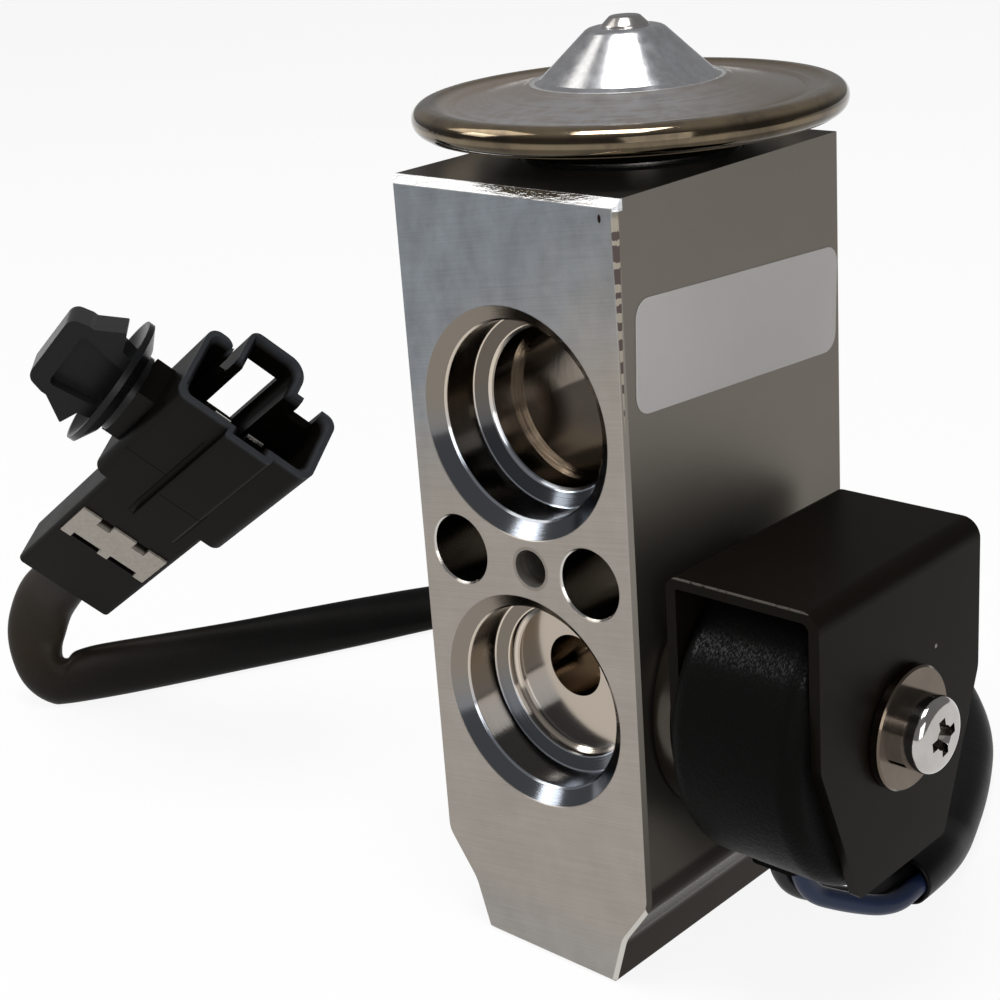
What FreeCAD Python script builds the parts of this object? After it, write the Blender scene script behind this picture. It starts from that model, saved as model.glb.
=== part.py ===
import FreeCAD, Part
import math
import os

# Block-type expansion valve with a side-mounted shut-off solenoid, its lead and its plug.
# Millimetres. Origin at the centre of the block's base, +X towards the solenoid,
# -Y is the face with the two ports seen from the front, +Z up.

# Valve block
block_width = 30.0
block_depth = 37.0
block_height = 88.0
base_width = 18.9
waist_width = 22.4
waist_height = 6.0
shoulder_height = 14.4
edge_break = 0.5
top_edge_break = 0.9

# Suction passage, right through the upper half of the block
suction_height = 63.4
suction_mouth_radius = 12.6
suction_seal_radius = 10.7
suction_step_radius = 9.1
suction_pipe_radius = 8.8
suction_bore_radius = 8.2

# Liquid ports, one on each face of the lower half
liquid_height = 31.9
liquid_mouth_radius = 12.3
liquid_seal_radius = 10.5
liquid_pipe_radius = 8.9
liquid_floor_radius = 8.35
inlet_hole_radius = 3.6
inlet_hole_height = 33.4
inlet_hole_stop = 1.2
outlet_hole_radius = 3.2
outlet_hole_height = 27.4

# Depths shared by all four ports
mouth_depth = 1.25
seal_depth = 5.5
step_depth = 6.4
pipe_depth = 9.5
throat_depth = 10.8
liquid_floor_depth = 7.3

# Fixing holes
fixing_height = 47.7
fixing_spacing = 18.2
fixing_radius = 3.8
fixing_chamfer = 0.25
stud_offset = 1.1
stud_radius = 2.1
stud_depth = 12.0

# Metering valve, on the vertical axis under the power head
valve_y = 2.5
chamber_radius = 6.5
seat_height = 22.2
orifice_radius = 2.5
ball_radius = 3.175
ball_gap = 0.1
valve_stroke = 0.6
pin_radius = 1.2
pin_clearance = 0.05
gland_radius = 3.3
gland_drop = 12.4
gland_clearance = 0.05
seal_cord_radius = 1.0
retainer_thickness = 1.0
retainer_dish = 0.3
rod_radius = 2.8
rod_foot_drop = 6.6
pin_socket_depth = 4.0
cup_radius = 5.8
cup_thickness = 1.4
cup_lip_height = 1.6
cup_lip_drop = 1.5
cup_lip_wall = 0.5
cup_pilot_depth = 1.3
pilot_clearance = 0.25
pilot_taper = 0.3
passage_radius = 1.6
passage_start_depth = 3.4
passage_start_drop = 4.4
passage_end_inset = 2.6
passage_end_drop = 3.4
passage_shift = 1.0
spring_mean_radius = 4.95
spring_wire_radius = 0.62
spring_turns = 4.5

# Superheat adjusting screw in the base
screw_clearance = 0.08
screw_recess = 0.9
screw_length = 6.3
screw_pilot_height = 1.4
screw_socket_flats = 5.0
screw_socket_depth = 3.6
screw_ring_radius = 0.9
screw_ring_drop = 1.6
ring_gap = 0.02
ring_bay_gap = 0.1

# Power head: each rise is measured from the level before it, the first from the block's top
neck_gap = 0.9
head_mid_rise = 4.7
head_roof_rise = 1.1
dome_foot_rise = 1.5
dome_rise = 5.4
charge_plug_rise = 1.3
charge_plug_rim = 0.9
head_radius = 22.75
rim_thickness = 3.0
rim_width = 1.05
rim_fold = 0.15
sheet_thickness = 1.0
groove_radius = 18.5
groove_depth = 0.25
groove_half_width = 0.5
dome_base_radius = 10.3
dome_top_radius = 3.9
dome_shoulder_radius = 1.4
dome_bead = 0.15
charge_plug_radius = 2.5
charge_plug_tip_radius = 1.4
cover_centre_radius = 13.0
cover_seat_radius = 19.6
cover_bend = 1.2
sleeve_radius = 9.9
sleeve_length = 7.4
sleeve_thread_run_out = 0.9
sleeve_bore_radius = 6.6
sleeve_collar_radius = 9.0
head_ring_radius = 1.0
head_ring_lift = 0.15
diaphragm_thickness = 0.25
diaphragm_wave = 0.075
pad_radius = 8.6
pad_gap = 0.06
pad_hub_radius = 4.4
pad_hub_depth = 6.0
pad_socket_depth = 0.8

# Solenoid on the right-hand face
solenoid_y = -2.1
solenoid_z = 32.7
nozzle_depth = 8.0
nozzle_bore_radius = 1.8
nozzle_rim_radius = 2.7
nozzle_height = 1.0
plunger_bay_radius = 6.0
shank_radius = 6.9
shank_length = 5.2
flange_radius = 14.7
flange_thickness = 2.8
flange_break = 0.3
tube_outer_radius = 5.65
tube_wall = 0.5
tube_entry = 5.0
plunger_clearance = 0.1
plunger_gap = 0.1
plunger_nose_radius = 3.5
plunger_neck_radius = 3.9
plunger_flat_depth = 0.5
plunger_seal_radius = 2.9
plunger_seal_thickness = 1.4
plunger_stroke = 1.2
core_length = 9.8
core_cap_length = 1.4
plunger_spring_radius = 2.0
plunger_spring_wire = 0.3
plunger_spring_turns = 6.0
spring_pocket_depth = 6.0

# Coil and its bracket
bracket_thickness = 1.2
bracket_width = 29.6
bracket_reach = 18.2
bracket_rise = 17.6
bracket_drop = 16.3
bracket_foot_width = 16.3
bracket_inner_bend = 0.3
bracket_outer_bend = 0.9
coil_radius = 17.8
coil_edge = 2.2
coil_gap = 0.1
coil_flat_drop = 1.0
coil_flat_bevel = 1.0
bobbin_wall = 0.9
bobbin_flange_radius = 13.6
bobbin_flange_thickness = 1.2
case_end = 0.7
winding_radius = 12.9
exit_boss_width = 6.2
exit_boss_length = 6.4
exit_boss_drop = 1.6
exit_boss_height = 6.0
exit_boss_corner = 1.2
bore_clearance = 0.1
bracket_shoulder_rise = 0.9
bracket_shoulder_radius = 3.0
bracket_corner_radius = 0.8
bracket_hole_clearance = 0.3

# Coil screw, M4 pan head with a cross recess, and its washers
coil_screw_radius = 1.95
coil_screw_grip = 6.8
coil_screw_head_radius = 4.1
coil_screw_head_height = 2.5
coil_screw_dome = 1.1
cross_width = 1.1
cross_length = 4.2
cross_depth = 1.7
cross_turn = 10.0
cross_root_radius = 0.6
cross_mouth_radius = 1.35
cross_root_depth = 0.4
screw_tip_clearance = 0.6
thread_clearance = 0.04
flat_washer_radius = 6.6
flat_washer_thickness = 1.2
washer_break = 0.2
spring_washer_radius = 4.1
spring_washer_thickness = 1.0
washer_bore_radius = 2.15
washer_split = 0.8
washer_split_turn = 130.0

# Lead
wire_radius = 1.15
lead_sleeve_radius = 2.85
wire_pitch = 2.8

# Plug on the lead: its own frame runs along the plug, across it and through it
plug_x = -94.83
plug_y = -11.43
plug_z = 23.47
plug_pitch = 34.6
plug_roll = -55.8
plug_length = 54.0
rear_width = 15.1
rear_thickness = 7.5
rear_corner = 0.8
shroud_start = 29.8
shroud_width = 19.9
shroud_shift = 0.25
shroud_thickness = 10.4
shroud_corner = 1.6
shroud_wall = 1.25
shroud_depth = 20.0
shroud_rise = 0.9
lead_in = 0.6
lead_in_depth = 0.9
arch_width = 8.8
arch_shift = -0.5
arch_height = 4.4
arch_corner = 1.4
arch_far_corner = 2.8
arch_window_length = 14.0
arch_window_rim = 4.0
arch_window_width = 4.9
arch_window_shift = -0.3
key_width = 6.7
key_shift = 1.5
key_height = 1.15
key_length = 26.7
key_corner = 0.5
far_notch_width = 2.8
far_notch_depth = 3.4
far_notch_gap = 1.0
far_slit_depth = 4.6
arch_start = 33.8
far_slit_width = 1.0
retainer_start = 13.3
retainer_length = 7.6
retainer_width = 13.4
retainer_depth = 3.4
retainer_gap = 0.12
retainer_proud = 0.25
retainer_tooth = 2.0
retainer_tooth_depth = 1.2
retainer_tooth_length = 1.7
retainer_tooth_spread = 2.8
retainer_slot_depth = 1.6
retainer_slot_length = 1.3
retainer_slot_start = 0.8
retainer_slot_end = 5.1
blade_width = 2.3
blade_thickness = 0.64
blade_pitch = 5.0
blade_reach = 16.0
blade_root = 9.0
blade_tip_break = 0.25

# Mounting clip on the side of the plug: heights are measured from its rail outwards
clip_station = 40.7
clip_turn = 38.0
rail_width = 6.0
rail_length = 11.0
rail_height = 2.5
clip_depth = 7.0
clip_height = 11.8
clip_cap_half_width = 4.6
clip_cap_thickness = 2.5
clip_cap_corner = 1.4
clip_shoulder_half_width = 5.2
clip_barb_half_width = 7.2
clip_barb_height = 5.2
clip_barb_foot = 4.2
clip_barb_tip_radius = 0.2
clip_leg_half_width = 4.2
clip_leg_thickness = 1.4
clip_web_thickness = 1.4
clip_disc_radius = 8.9
clip_disc_floor = 1.0
clip_disc_thickness = 1.2
clip_disc_dish = 1.4
clip_disc_rim = 0.8
clip_disc_slope = 2.4
clip_boss_radius = 5.4

# Heights and places worked out from the sizes above
half_width = block_width / 2
half_depth = block_depth / 2
gland_floor = suction_height - gland_drop
rod_foot = suction_height - rod_foot_drop
ball_height = seat_height - math.sqrt(ball_radius ** 2 - orifice_radius ** 2) - ball_gap
cup_top = ball_height - cup_lip_drop
cup_flange_top = cup_top - cup_lip_height
cup_flange_floor = cup_flange_top - cup_thickness
spring_pilot_radius = spring_mean_radius - spring_wire_radius - pilot_clearance
screw_shoulder = screw_recess + screw_length
screw_ring_height = screw_shoulder - screw_ring_drop
neck_height = block_height + neck_gap
sleeve_top = neck_height + sheet_thickness
head_mid_height = block_height + head_mid_rise
head_top_height = head_mid_height + head_roof_rise
dome_foot_height = head_top_height + dome_foot_rise
dome_top_height = dome_foot_height + dome_rise
charge_plug_height = dome_top_height + charge_plug_rise
rim_floor = head_mid_height - rim_thickness / 2
rim_inner_radius = head_radius - rim_width
cover_rim_floor = rim_floor + rim_fold
diaphragm_level = cover_rim_floor + sheet_thickness
pad_floor = sleeve_top + valve_stroke + gland_clearance
tube_inner_radius = tube_outer_radius - tube_wall
bracket_inner = half_width + flange_thickness
bracket_outer = bracket_inner + bracket_reach
bracket_face = bracket_outer - bracket_thickness
bracket_top = solenoid_z + bracket_rise
coil_start = bracket_inner + bracket_thickness + coil_gap
coil_end = bracket_face - coil_gap
tube_start = half_width + flange_thickness - tube_entry
shank_start = half_width - shank_length
nozzle_lip = half_width - nozzle_depth + nozzle_height
core_start = bracket_face - core_length
tube_end = bracket_face - core_cap_length
plunger_tip = nozzle_lip + ring_gap
plunger_body_start = shank_start + plunger_gap
plunger_end = core_start - plunger_stroke - plunger_gap
coil_bore_radius = tube_outer_radius + bore_clearance
bobbin_start = coil_start + case_end
bobbin_end = coil_end - case_end
winding_start = bobbin_start + bobbin_flange_thickness
winding_end = bobbin_end - bobbin_flange_thickness

# Routes of the wires and of the sleeve, from the coil to the plug
wire_route = [
    (22.4, -3.4, 13.3),
    (22.4, -3.4, 9.6),
    (24.8, 2.0, 6.2),
    (27.4, 7.4, 3.9),
    (27.4, 12.6, 4.1),
]
sleeve_route = [
    (27.4, 12.6, 4.1),
    (27.4, 17.8, 4.3),
    (25.0, 26.0, 3.2),
    (19.8, 38.4, 2.9),
    (12.2, 52.0, 2.9),
    (0.0, 65.4, 2.9),
    (-15.8, 75.8, 2.9),
    (-34.4, 79.0, 2.9),
    (-52.0, 72.8, 2.9),
    (-65.8, 59.6, 2.9),
    (-75.2, 42.8, 2.9),
    (-82.2, 26.6, 2.9),
    (-89.0, 12.6, 2.9),
    (-94.6, 1.6, 2.9),
    (-98.8, -6.0, 2.9),
    (-105.0, -11.2, 3.8),
    (-108.2, -12.6, 9.4),
    (-105.8, -12.0, 15.2),
    (-100.2, -11.43, 19.77),
    (plug_x, plug_y, plug_z),
]

X_AXIS = FreeCAD.Vector(1, 0, 0)
Y_AXIS = FreeCAD.Vector(0, 1, 0)
Z_AXIS = FreeCAD.Vector(0, 0, 1)
ORIGIN = FreeCAD.Vector(0, 0, 0)


def point(x, y, z):
    return FreeCAD.Vector(x, y, z)


def box(x0, x1, y0, y1, z0, z1):
    """Box between two corners."""
    return Part.makeBox(x1 - x0, y1 - y0, z1 - z0, point(x0, y0, z0))


def rod_x(radius, x0, x1, y=solenoid_y, z=solenoid_z):
    """Cylinder along X."""
    return Part.makeCylinder(radius, x1 - x0, point(x0, y, z), X_AXIS)


def rod_y(radius, y0, y1, x, z):
    """Cylinder along Y."""
    return Part.makeCylinder(radius, y1 - y0, point(x, y0, z), Y_AXIS)


def rod_z(radius, z0, z1, x=0.0, y=valve_y):
    """Cylinder along Z."""
    return Part.makeCylinder(radius, z1 - z0, point(x, y, z0), Z_AXIS)


def rounded_loop(corners, place):
    """Closed wire through (u, v, radius) corners; place turns (u, v) into a vector."""
    edges = []
    starts = []
    count = len(corners)
    for index in range(count):
        u, v, radius = corners[index]
        corner = FreeCAD.Vector(u, v, 0)
        before = FreeCAD.Vector(corners[index - 1][0], corners[index - 1][1], 0)
        after = FreeCAD.Vector(corners[(index + 1) % count][0], corners[(index + 1) % count][1], 0)
        back = (before - corner).normalize()
        ahead = (after - corner).normalize()
        if radius <= 0:
            starts.append((corner, corner, None))
            continue
        half = back.getAngle(ahead) / 2
        reach = radius / math.tan(half)
        centre = corner + (back + ahead).normalize() * (radius / math.sin(half))
        middle = centre + (corner - centre).normalize() * radius
        starts.append((corner + back * reach, corner + ahead * reach, middle))
    for index in range(count):
        entry, leave, middle = starts[index]
        if middle is not None:
            edges.append(Part.Arc(place(entry), place(middle), place(leave)).toShape())
        following = starts[(index + 1) % count][0]
        if (following - leave).Length > 1e-6:
            edges.append(Part.LineSegment(place(leave), place(following)).toShape())
    return Part.Wire(edges)


def rectangle(u0, u1, v0, v1, radius):
    """Corners of a rectangle with one radius all round."""
    return [(u0, v0, radius), (u1, v0, radius), (u1, v1, radius), (u0, v1, radius)]


def slab(corners, place, direction):
    """Solid from a rounded loop pushed along a vector."""
    return Part.Face(rounded_loop(corners, place)).extrude(direction)


def revolve_z(profile, y=valve_y):
    """Solid of revolution about the vertical valve axis from (radius, z) corners."""
    def place(flat):
        return point(flat.x, y, flat.y)
    corners = [(corner + (0,))[:3] for corner in profile]
    face = Part.Face(rounded_loop(corners, place))
    return face.revolve(point(0, y, 0), Z_AXIS, 360)


def revolve_x(profile):
    """Solid of revolution about the solenoid axis from (x, radius) corners."""
    def place(flat):
        return point(flat.x, solenoid_y, solenoid_z + flat.y)
    corners = [(corner + (0,))[:3] for corner in profile]
    face = Part.Face(rounded_loop(corners, place))
    return face.revolve(point(0, solenoid_y, solenoid_z), X_AXIS, 360)


def ring(major, minor, centre, direction):
    """O-ring."""
    return Part.makeTorus(major, minor, centre, direction)


def coil_spring(mean_radius, wire_radius_, length, turns):
    """Compression spring standing on the XY plane, its wire inside the given length."""
    pitch = (length - 2 * wire_radius_) / turns
    half_turns = []
    for index in range(round(2 * turns)):
        helix = Part.makeHelix(pitch, pitch / 2, mean_radius)
        helix.rotate(ORIGIN, Z_AXIS, 180 * index)
        helix.translate(point(0, 0, wire_radius_ + pitch / 2 * index))
        half_turns += helix.Edges
    rise = pitch / (2 * math.pi * mean_radius)
    tangent = FreeCAD.Vector(0, 1, rise).normalize()
    section = Part.Wire(Part.Circle(point(mean_radius, 0, wire_radius_), tangent, wire_radius_).toShape())
    return Part.Wire(half_turns).makePipeShell([section], True, True)


def lead_path(route):
    """Straight runs joined by tangent arcs; returns the wire and the arc radii."""
    points = [point(*place) for place in route]
    edges = []
    radii = []
    start = points[0]
    for before, corner, after in zip(points, points[1:], points[2:]):
        back = before - corner
        ahead = after - corner
        shorter = min(back.Length, ahead.Length)
        turn = math.pi - back.getAngle(ahead)
        radius = 0.45 * shorter / math.tan(turn / 2)
        back.normalize()
        ahead.normalize()
        entry = corner + back * (0.45 * shorter)
        leave = corner + ahead * (0.45 * shorter)
        centre = corner + (back + ahead).normalize() * math.hypot(radius, 0.45 * shorter)
        middle = centre + (corner - centre).normalize() * radius
        edges.append(Part.LineSegment(start, entry).toShape())
        edges.append(Part.Arc(entry, middle, leave).toShape())
        radii.append(radius)
        start = leave
    edges.append(Part.LineSegment(start, points[-1]).toShape())
    return Part.Wire(edges), radii


def lead_tube(route, radius):
    """Round tube along a route."""
    path, radii = lead_path(route)
    first = point(*route[0])
    heading = (point(*route[1]) - first).normalize()
    section = Part.Wire(Part.Circle(first, heading, radius).toShape())
    tube = path.makePipeShell([section], True, False)
    volume = math.pi * radius ** 2 * path.Length
    print("lead tube: length %.1f, volume ratio %.4f, arc radii %s"
          % (path.Length, tube.Volume / volume, [round(arc, 1) for arc in radii]))
    return tube


def port_profile(radii, depths):
    """Corners of a stepped bore, from outside the face inwards."""
    corners = [(0.0, -1.0), (radii[0] + 0.8, -1.0), (radii[0] + 0.8, -0.001)]
    corners += list(zip(radii, depths))
    corners.append((0.0, depths[-1]))
    return corners


def port_cut(radii, depths, height, side):
    """Stepped bore cut into the front (side -1) or the back (side +1) face."""
    def place(flat):
        return point(flat.x, side * (half_depth - flat.y), height)
    corners = [(radius, depth, 0) for radius, depth in port_profile(radii, depths)]
    face = Part.Face(rounded_loop(corners, place))
    return face.revolve(point(0, 0, height), Y_AXIS, 360)


def chamfered_hole(radius, chamfer, y0, y1, x, z):
    """Through hole along Y with both edges broken."""
    hole = rod_y(radius, y0 - 1, y1 + 1, x, z)
    front = Part.makeCone(radius + chamfer, radius, chamfer, point(x, y0, z), Y_AXIS)
    back = Part.makeCone(radius, radius + chamfer, chamfer, point(x, y1 - chamfer, z), Y_AXIS)
    return hole.fuse([front, back])


def make_block():
    """Extruded bar with the narrowed foot, all its ports, seats and holes."""
    def place(flat):
        return point(flat.x, -half_depth, flat.y)
    right = [(base_width / 2, 0.0, 0.6), (waist_width / 2, waist_height, 4.0),
             (half_width, shoulder_height - 3.0, 3.2), (half_width, block_height, 0)]
    left = [(-u, v, radius) for u, v, radius in reversed(right)]
    body = slab(right + left, place, point(0, block_depth, 0))
    front_outline = [edge for edge in body.Edges
                     if all(abs(vertex.Y + half_depth) < 1e-6 for vertex in edge.Vertexes)
                     and edge.BoundBox.ZMax < block_height - 1]
    body = body.makeChamfer(edge_break, front_outline)
    top_front = [edge for edge in body.Edges
                 if edge.BoundBox.ZMin > block_height - 1e-6
                 and edge.BoundBox.YMax < -half_depth + edge_break + 1e-3
                 and edge.Length > block_width / 2]
    body = body.makeChamfer(top_edge_break, top_front)

    cuts = []
    suction_radii = [suction_mouth_radius, suction_seal_radius + 0.25, suction_seal_radius,
                     suction_seal_radius, suction_step_radius, suction_pipe_radius,
                     suction_pipe_radius, suction_bore_radius]
    suction_depths = [0.0, mouth_depth, mouth_depth + 0.25, seal_depth, step_depth,
                      step_depth + 0.3, pipe_depth, throat_depth]
    liquid_radii = [liquid_mouth_radius, liquid_seal_radius + 0.25, liquid_seal_radius,
                    liquid_seal_radius, liquid_pipe_radius, liquid_pipe_radius,
                    liquid_floor_radius]
    liquid_depths = [0.0, mouth_depth, mouth_depth + 0.25, seal_depth, step_depth - 0.2,
                     liquid_floor_depth - 0.4, liquid_floor_depth]
    for side in (-1, 1):
        cuts.append(port_cut(suction_radii, suction_depths, suction_height, side))
        cuts.append(port_cut(liquid_radii, liquid_depths, liquid_height, side))
    passage_end = half_depth - seal_depth
    cuts.append(rod_y(suction_bore_radius, -passage_end, passage_end, 0, suction_height))

    floor_y = half_depth - liquid_floor_depth
    cuts.append(rod_y(inlet_hole_radius, -floor_y - 1, solenoid_y - inlet_hole_stop, 0, inlet_hole_height))
    cuts.append(rod_y(outlet_hole_radius, valve_y - orifice_radius - 0.1, floor_y + 1, 0, outlet_hole_height))

    for side in (-1, 1):
        cuts.append(chamfered_hole(fixing_radius, fixing_chamfer, -half_depth, half_depth,
                                   side * fixing_spacing / 2, fixing_height))
    stud = rod_y(stud_radius, -half_depth - 1, -half_depth + stud_depth, stud_offset, fixing_height)
    point_cone = Part.makeCone(stud_radius, 0, stud_radius * 0.6,
                               point(stud_offset, -half_depth + stud_depth, fixing_height), Y_AXIS)
    cuts.append(stud.fuse(point_cone))

    cuts.append(rod_z(chamber_radius, -1, seat_height))
    cuts.append(rod_z(orifice_radius, seat_height - 1, outlet_hole_height))
    cuts.append(rod_z(pin_radius + pin_clearance, outlet_hole_height, suction_height))
    cuts.append(rod_z(gland_radius, gland_floor, suction_height))
    cuts.append(rod_z(sleeve_bore_radius, suction_height, block_height))
    thread_floor = neck_height - sleeve_length - sleeve_thread_run_out
    cuts.append(rod_z(sleeve_radius + screw_clearance, thread_floor, block_height + 1))
    ring_seat = sleeve_radius + 2 * head_ring_radius + ring_bay_gap
    cuts.append(rod_z(ring_seat, block_height - 2 * head_ring_radius + ring_bay_gap, block_height + 1))

    bay = rod_x(plunger_bay_radius, half_width - nozzle_depth, half_width + 1)
    bay = bay.fuse(rod_x(shank_radius, shank_start - 0.4, half_width + 1))
    ring_bay = shank_radius + 2 * screw_ring_radius + ring_bay_gap
    bay = bay.fuse(rod_x(ring_bay, half_width - 2 * screw_ring_radius, half_width + 1))
    nozzle = rod_x(nozzle_rim_radius, half_width - nozzle_depth - 1, nozzle_lip)
    bay = bay.cut(nozzle)
    cuts.append(bay)
    cuts.append(rod_x(nozzle_bore_radius, 0, nozzle_lip + 1))
    start = point(half_width - nozzle_depth + passage_start_depth, solenoid_y + passage_shift,
                  solenoid_z - passage_start_drop)
    finish = point(chamber_radius - passage_end_inset, valve_y - passage_shift,
                   seat_height - passage_end_drop)
    way = finish - start
    cuts.append(Part.makeCylinder(passage_radius, way.Length, start, way))
    return body.cut(cuts)


def make_valve_ball():
    return Part.makeSphere(ball_radius, point(0, valve_y, ball_height))


def make_spring_cup():
    """Turned spring plate whose top is hollowed for the ball."""
    pilot_foot = cup_flange_floor - cup_pilot_depth
    lip_radius = ball_radius + cup_lip_wall
    cup = revolve_z([
        (0, pilot_foot), (spring_pilot_radius - pilot_taper, pilot_foot),
        (spring_pilot_radius, pilot_foot + pilot_taper), (spring_pilot_radius, cup_flange_floor),
        (cup_radius, cup_flange_floor), (cup_radius, cup_flange_top), (lip_radius, cup_flange_top),
        (lip_radius, cup_top), (0, cup_top)])
    return cup.cut(make_valve_ball())


def make_push_pin():
    """Thin pin between the ball and the sensing rod."""
    foot = ball_height + ball_radius
    return rod_z(pin_radius, foot, rod_foot + pin_socket_depth)


def make_sensing_rod():
    """Thick rod across the suction passage, bored for the pin."""
    top = pad_floor - pad_socket_depth
    rod = revolve_z([
        (0, rod_foot), (rod_radius - edge_break, rod_foot), (rod_radius, rod_foot + edge_break),
        (rod_radius, top), (0, top)])
    return rod.cut(rod_z(pin_radius, rod_foot - 1, rod_foot + pin_socket_depth))


def make_rod_seal():
    reach = pin_radius + ring_gap + seal_cord_radius
    height = gland_floor + seal_cord_radius + gland_clearance
    return ring(reach, seal_cord_radius, point(0, valve_y, height), Z_AXIS)


def make_rod_seal_retainer():
    """Pressed-in washer over the rod seal, dished towards the passage."""
    floor = gland_floor + 2 * seal_cord_radius + 4 * gland_clearance
    hole = pin_radius + retainer_dish
    return revolve_z([
        (hole, floor + retainer_dish), (gland_radius - 2 * retainer_dish, floor), (gland_radius, floor),
        (gland_radius, floor + retainer_thickness), (hole, floor + retainer_thickness)])


def make_superheat_spring():
    length = cup_flange_floor - screw_shoulder
    spring = coil_spring(spring_mean_radius, spring_wire_radius, length, spring_turns)
    spring.translate(point(0, valve_y, screw_shoulder))
    return spring


def make_setting_screw():
    """Adjusting screw with a hexagon socket below, a ring groove and a spring pilot above."""
    outer = chamber_radius - screw_clearance
    groove = chamber_radius - 2 * screw_ring_radius - 2 * ring_gap
    groove_floor = screw_ring_height - screw_ring_radius
    groove_top = screw_ring_height + screw_ring_radius
    pilot_top = screw_shoulder + screw_pilot_height
    body = revolve_z([
        (0, screw_recess), (outer - edge_break, screw_recess), (outer, screw_recess + edge_break),
        (outer, groove_floor), (groove, groove_floor), (groove, groove_top), (outer, groove_top),
        (outer, screw_shoulder), (spring_pilot_radius, screw_shoulder),
        (spring_pilot_radius - pilot_taper, pilot_top), (0, pilot_top)])
    socket_radius = screw_socket_flats / math.sqrt(3)
    corners = []
    for index in range(6):
        angle = math.radians(60 * index)
        corners.append((socket_radius * math.cos(angle), socket_radius * math.sin(angle), 0))

    def place(flat):
        return point(flat.x, valve_y + flat.y, screw_recess - 1)
    socket = slab(corners, place, point(0, 0, screw_socket_depth + 1))
    return body.cut(socket)


def make_setting_ring():
    return ring(chamber_radius - ring_gap - screw_ring_radius, screw_ring_radius,
                point(0, valve_y, screw_ring_height), Z_AXIS)


def make_head_sleeve():
    """Threaded sleeve that carries the power head in the block."""
    foot = neck_height - sleeve_length
    return revolve_z([
        (sleeve_bore_radius, foot), (sleeve_radius - edge_break, foot), (sleeve_radius, foot + edge_break),
        (sleeve_radius, neck_height), (sleeve_collar_radius, neck_height),
        (sleeve_collar_radius, sleeve_top), (sleeve_bore_radius, sleeve_top)])


def make_head_ring():
    major = sleeve_radius + head_ring_radius + ring_gap
    height = block_height - head_ring_radius + head_ring_lift
    return ring(major, head_ring_radius, point(0, valve_y, height), Z_AXIS)


def make_lower_cover():
    """Pressed lower cover: flat rim, sloping wall and a flat centre round the sleeve."""
    seat_top = cover_rim_floor + sheet_thickness
    bend_drop = groove_depth
    lean = sheet_thickness * 0.3
    return revolve_z([
        (sleeve_collar_radius, neck_height), (cover_centre_radius, neck_height),
        (cover_seat_radius - cover_bend, cover_rim_floor - bend_drop), (cover_seat_radius, cover_rim_floor),
        (rim_inner_radius, cover_rim_floor), (rim_inner_radius, seat_top),
        (cover_seat_radius - lean, seat_top), (cover_seat_radius - lean - cover_bend, seat_top - bend_drop),
        (cover_centre_radius - lean, sleeve_top), (sleeve_collar_radius, sleeve_top)])


def make_upper_cover():
    """Pressed upper cover with the rolled rim, a ring groove and the bulb dome."""
    clamp = diaphragm_level + diaphragm_thickness
    rim_top = head_mid_height + rim_thickness / 2
    roof = head_top_height - sheet_thickness
    dome_roof = dome_top_height - sheet_thickness
    bulge = rim_thickness / 2 - gland_clearance
    return revolve_z([
        (0, dome_roof), (dome_top_radius - 0.6 * sheet_thickness, dome_roof),
        (dome_base_radius - 1.6 * sheet_thickness, dome_foot_height - sheet_thickness / 2),
        (dome_base_radius, dome_foot_height - sheet_thickness), (groove_radius, roof),
        (rim_inner_radius - 2 * cover_bend, clamp), (rim_inner_radius, clamp), (rim_inner_radius, rim_floor),
        (head_radius, rim_floor, bulge), (head_radius, rim_top, bulge),
        (rim_inner_radius - 0.75 * cover_bend, rim_top),
        (rim_inner_radius - 1.75 * cover_bend, head_top_height),
        (groove_radius + groove_half_width, head_top_height), (groove_radius, head_top_height - groove_depth),
        (groove_radius - groove_half_width, head_top_height),
        (dome_base_radius + 4 * dome_bead, dome_foot_height - dome_bead),
        (dome_base_radius, dome_foot_height + dome_bead),
        (dome_base_radius - 3 * dome_bead, dome_foot_height),
        (dome_base_radius - 8 * dome_bead, dome_foot_height + 3 * dome_bead),
        (dome_top_radius, dome_top_height, dome_shoulder_radius), (0, dome_top_height)])


def make_charge_plug():
    """Plug that closes the charging hole, standing on the dome."""
    return revolve_z([
        (0, dome_top_height), (charge_plug_radius, dome_top_height),
        (charge_plug_radius, dome_top_height + charge_plug_rim),
        (charge_plug_tip_radius + 2 * dome_bead, charge_plug_height - 2 * dome_bead),
        (charge_plug_tip_radius - 2 * dome_bead, charge_plug_height), (0, charge_plug_height)])


def make_diaphragm():
    """Corrugated disc clamped between the two covers."""
    wave_width = 2 * groove_half_width + dome_bead * 6
    first_wave = rim_inner_radius - 2 * cover_bend
    lower = [(rim_inner_radius, diaphragm_level), (first_wave, diaphragm_level)]
    for index in range(1, 5):
        shift = diaphragm_wave * (1 if index % 2 else -1)
        lower.append((first_wave - index * wave_width, diaphragm_level + shift))
    lower.append((first_wave - 5 * wave_width, diaphragm_level))
    lower.append((0, diaphragm_level))
    upper = [(radius, height + diaphragm_thickness) for radius, height in reversed(lower)]
    return revolve_z(lower + upper)


def make_pressure_pad():
    """Stop pad under the diaphragm with a hub for the sensing rod."""
    top = diaphragm_level - pad_gap
    foot = pad_floor - pad_hub_depth
    pad = revolve_z([
        (0, foot), (pad_hub_radius - edge_break, foot), (pad_hub_radius, foot + edge_break),
        (pad_hub_radius, pad_floor), (pad_radius, pad_floor), (pad_radius, top - edge_break),
        (pad_radius - edge_break, top), (0, top)])
    return pad.cut(rod_z(rod_radius, foot - 1, pad_floor - pad_socket_depth))


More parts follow.
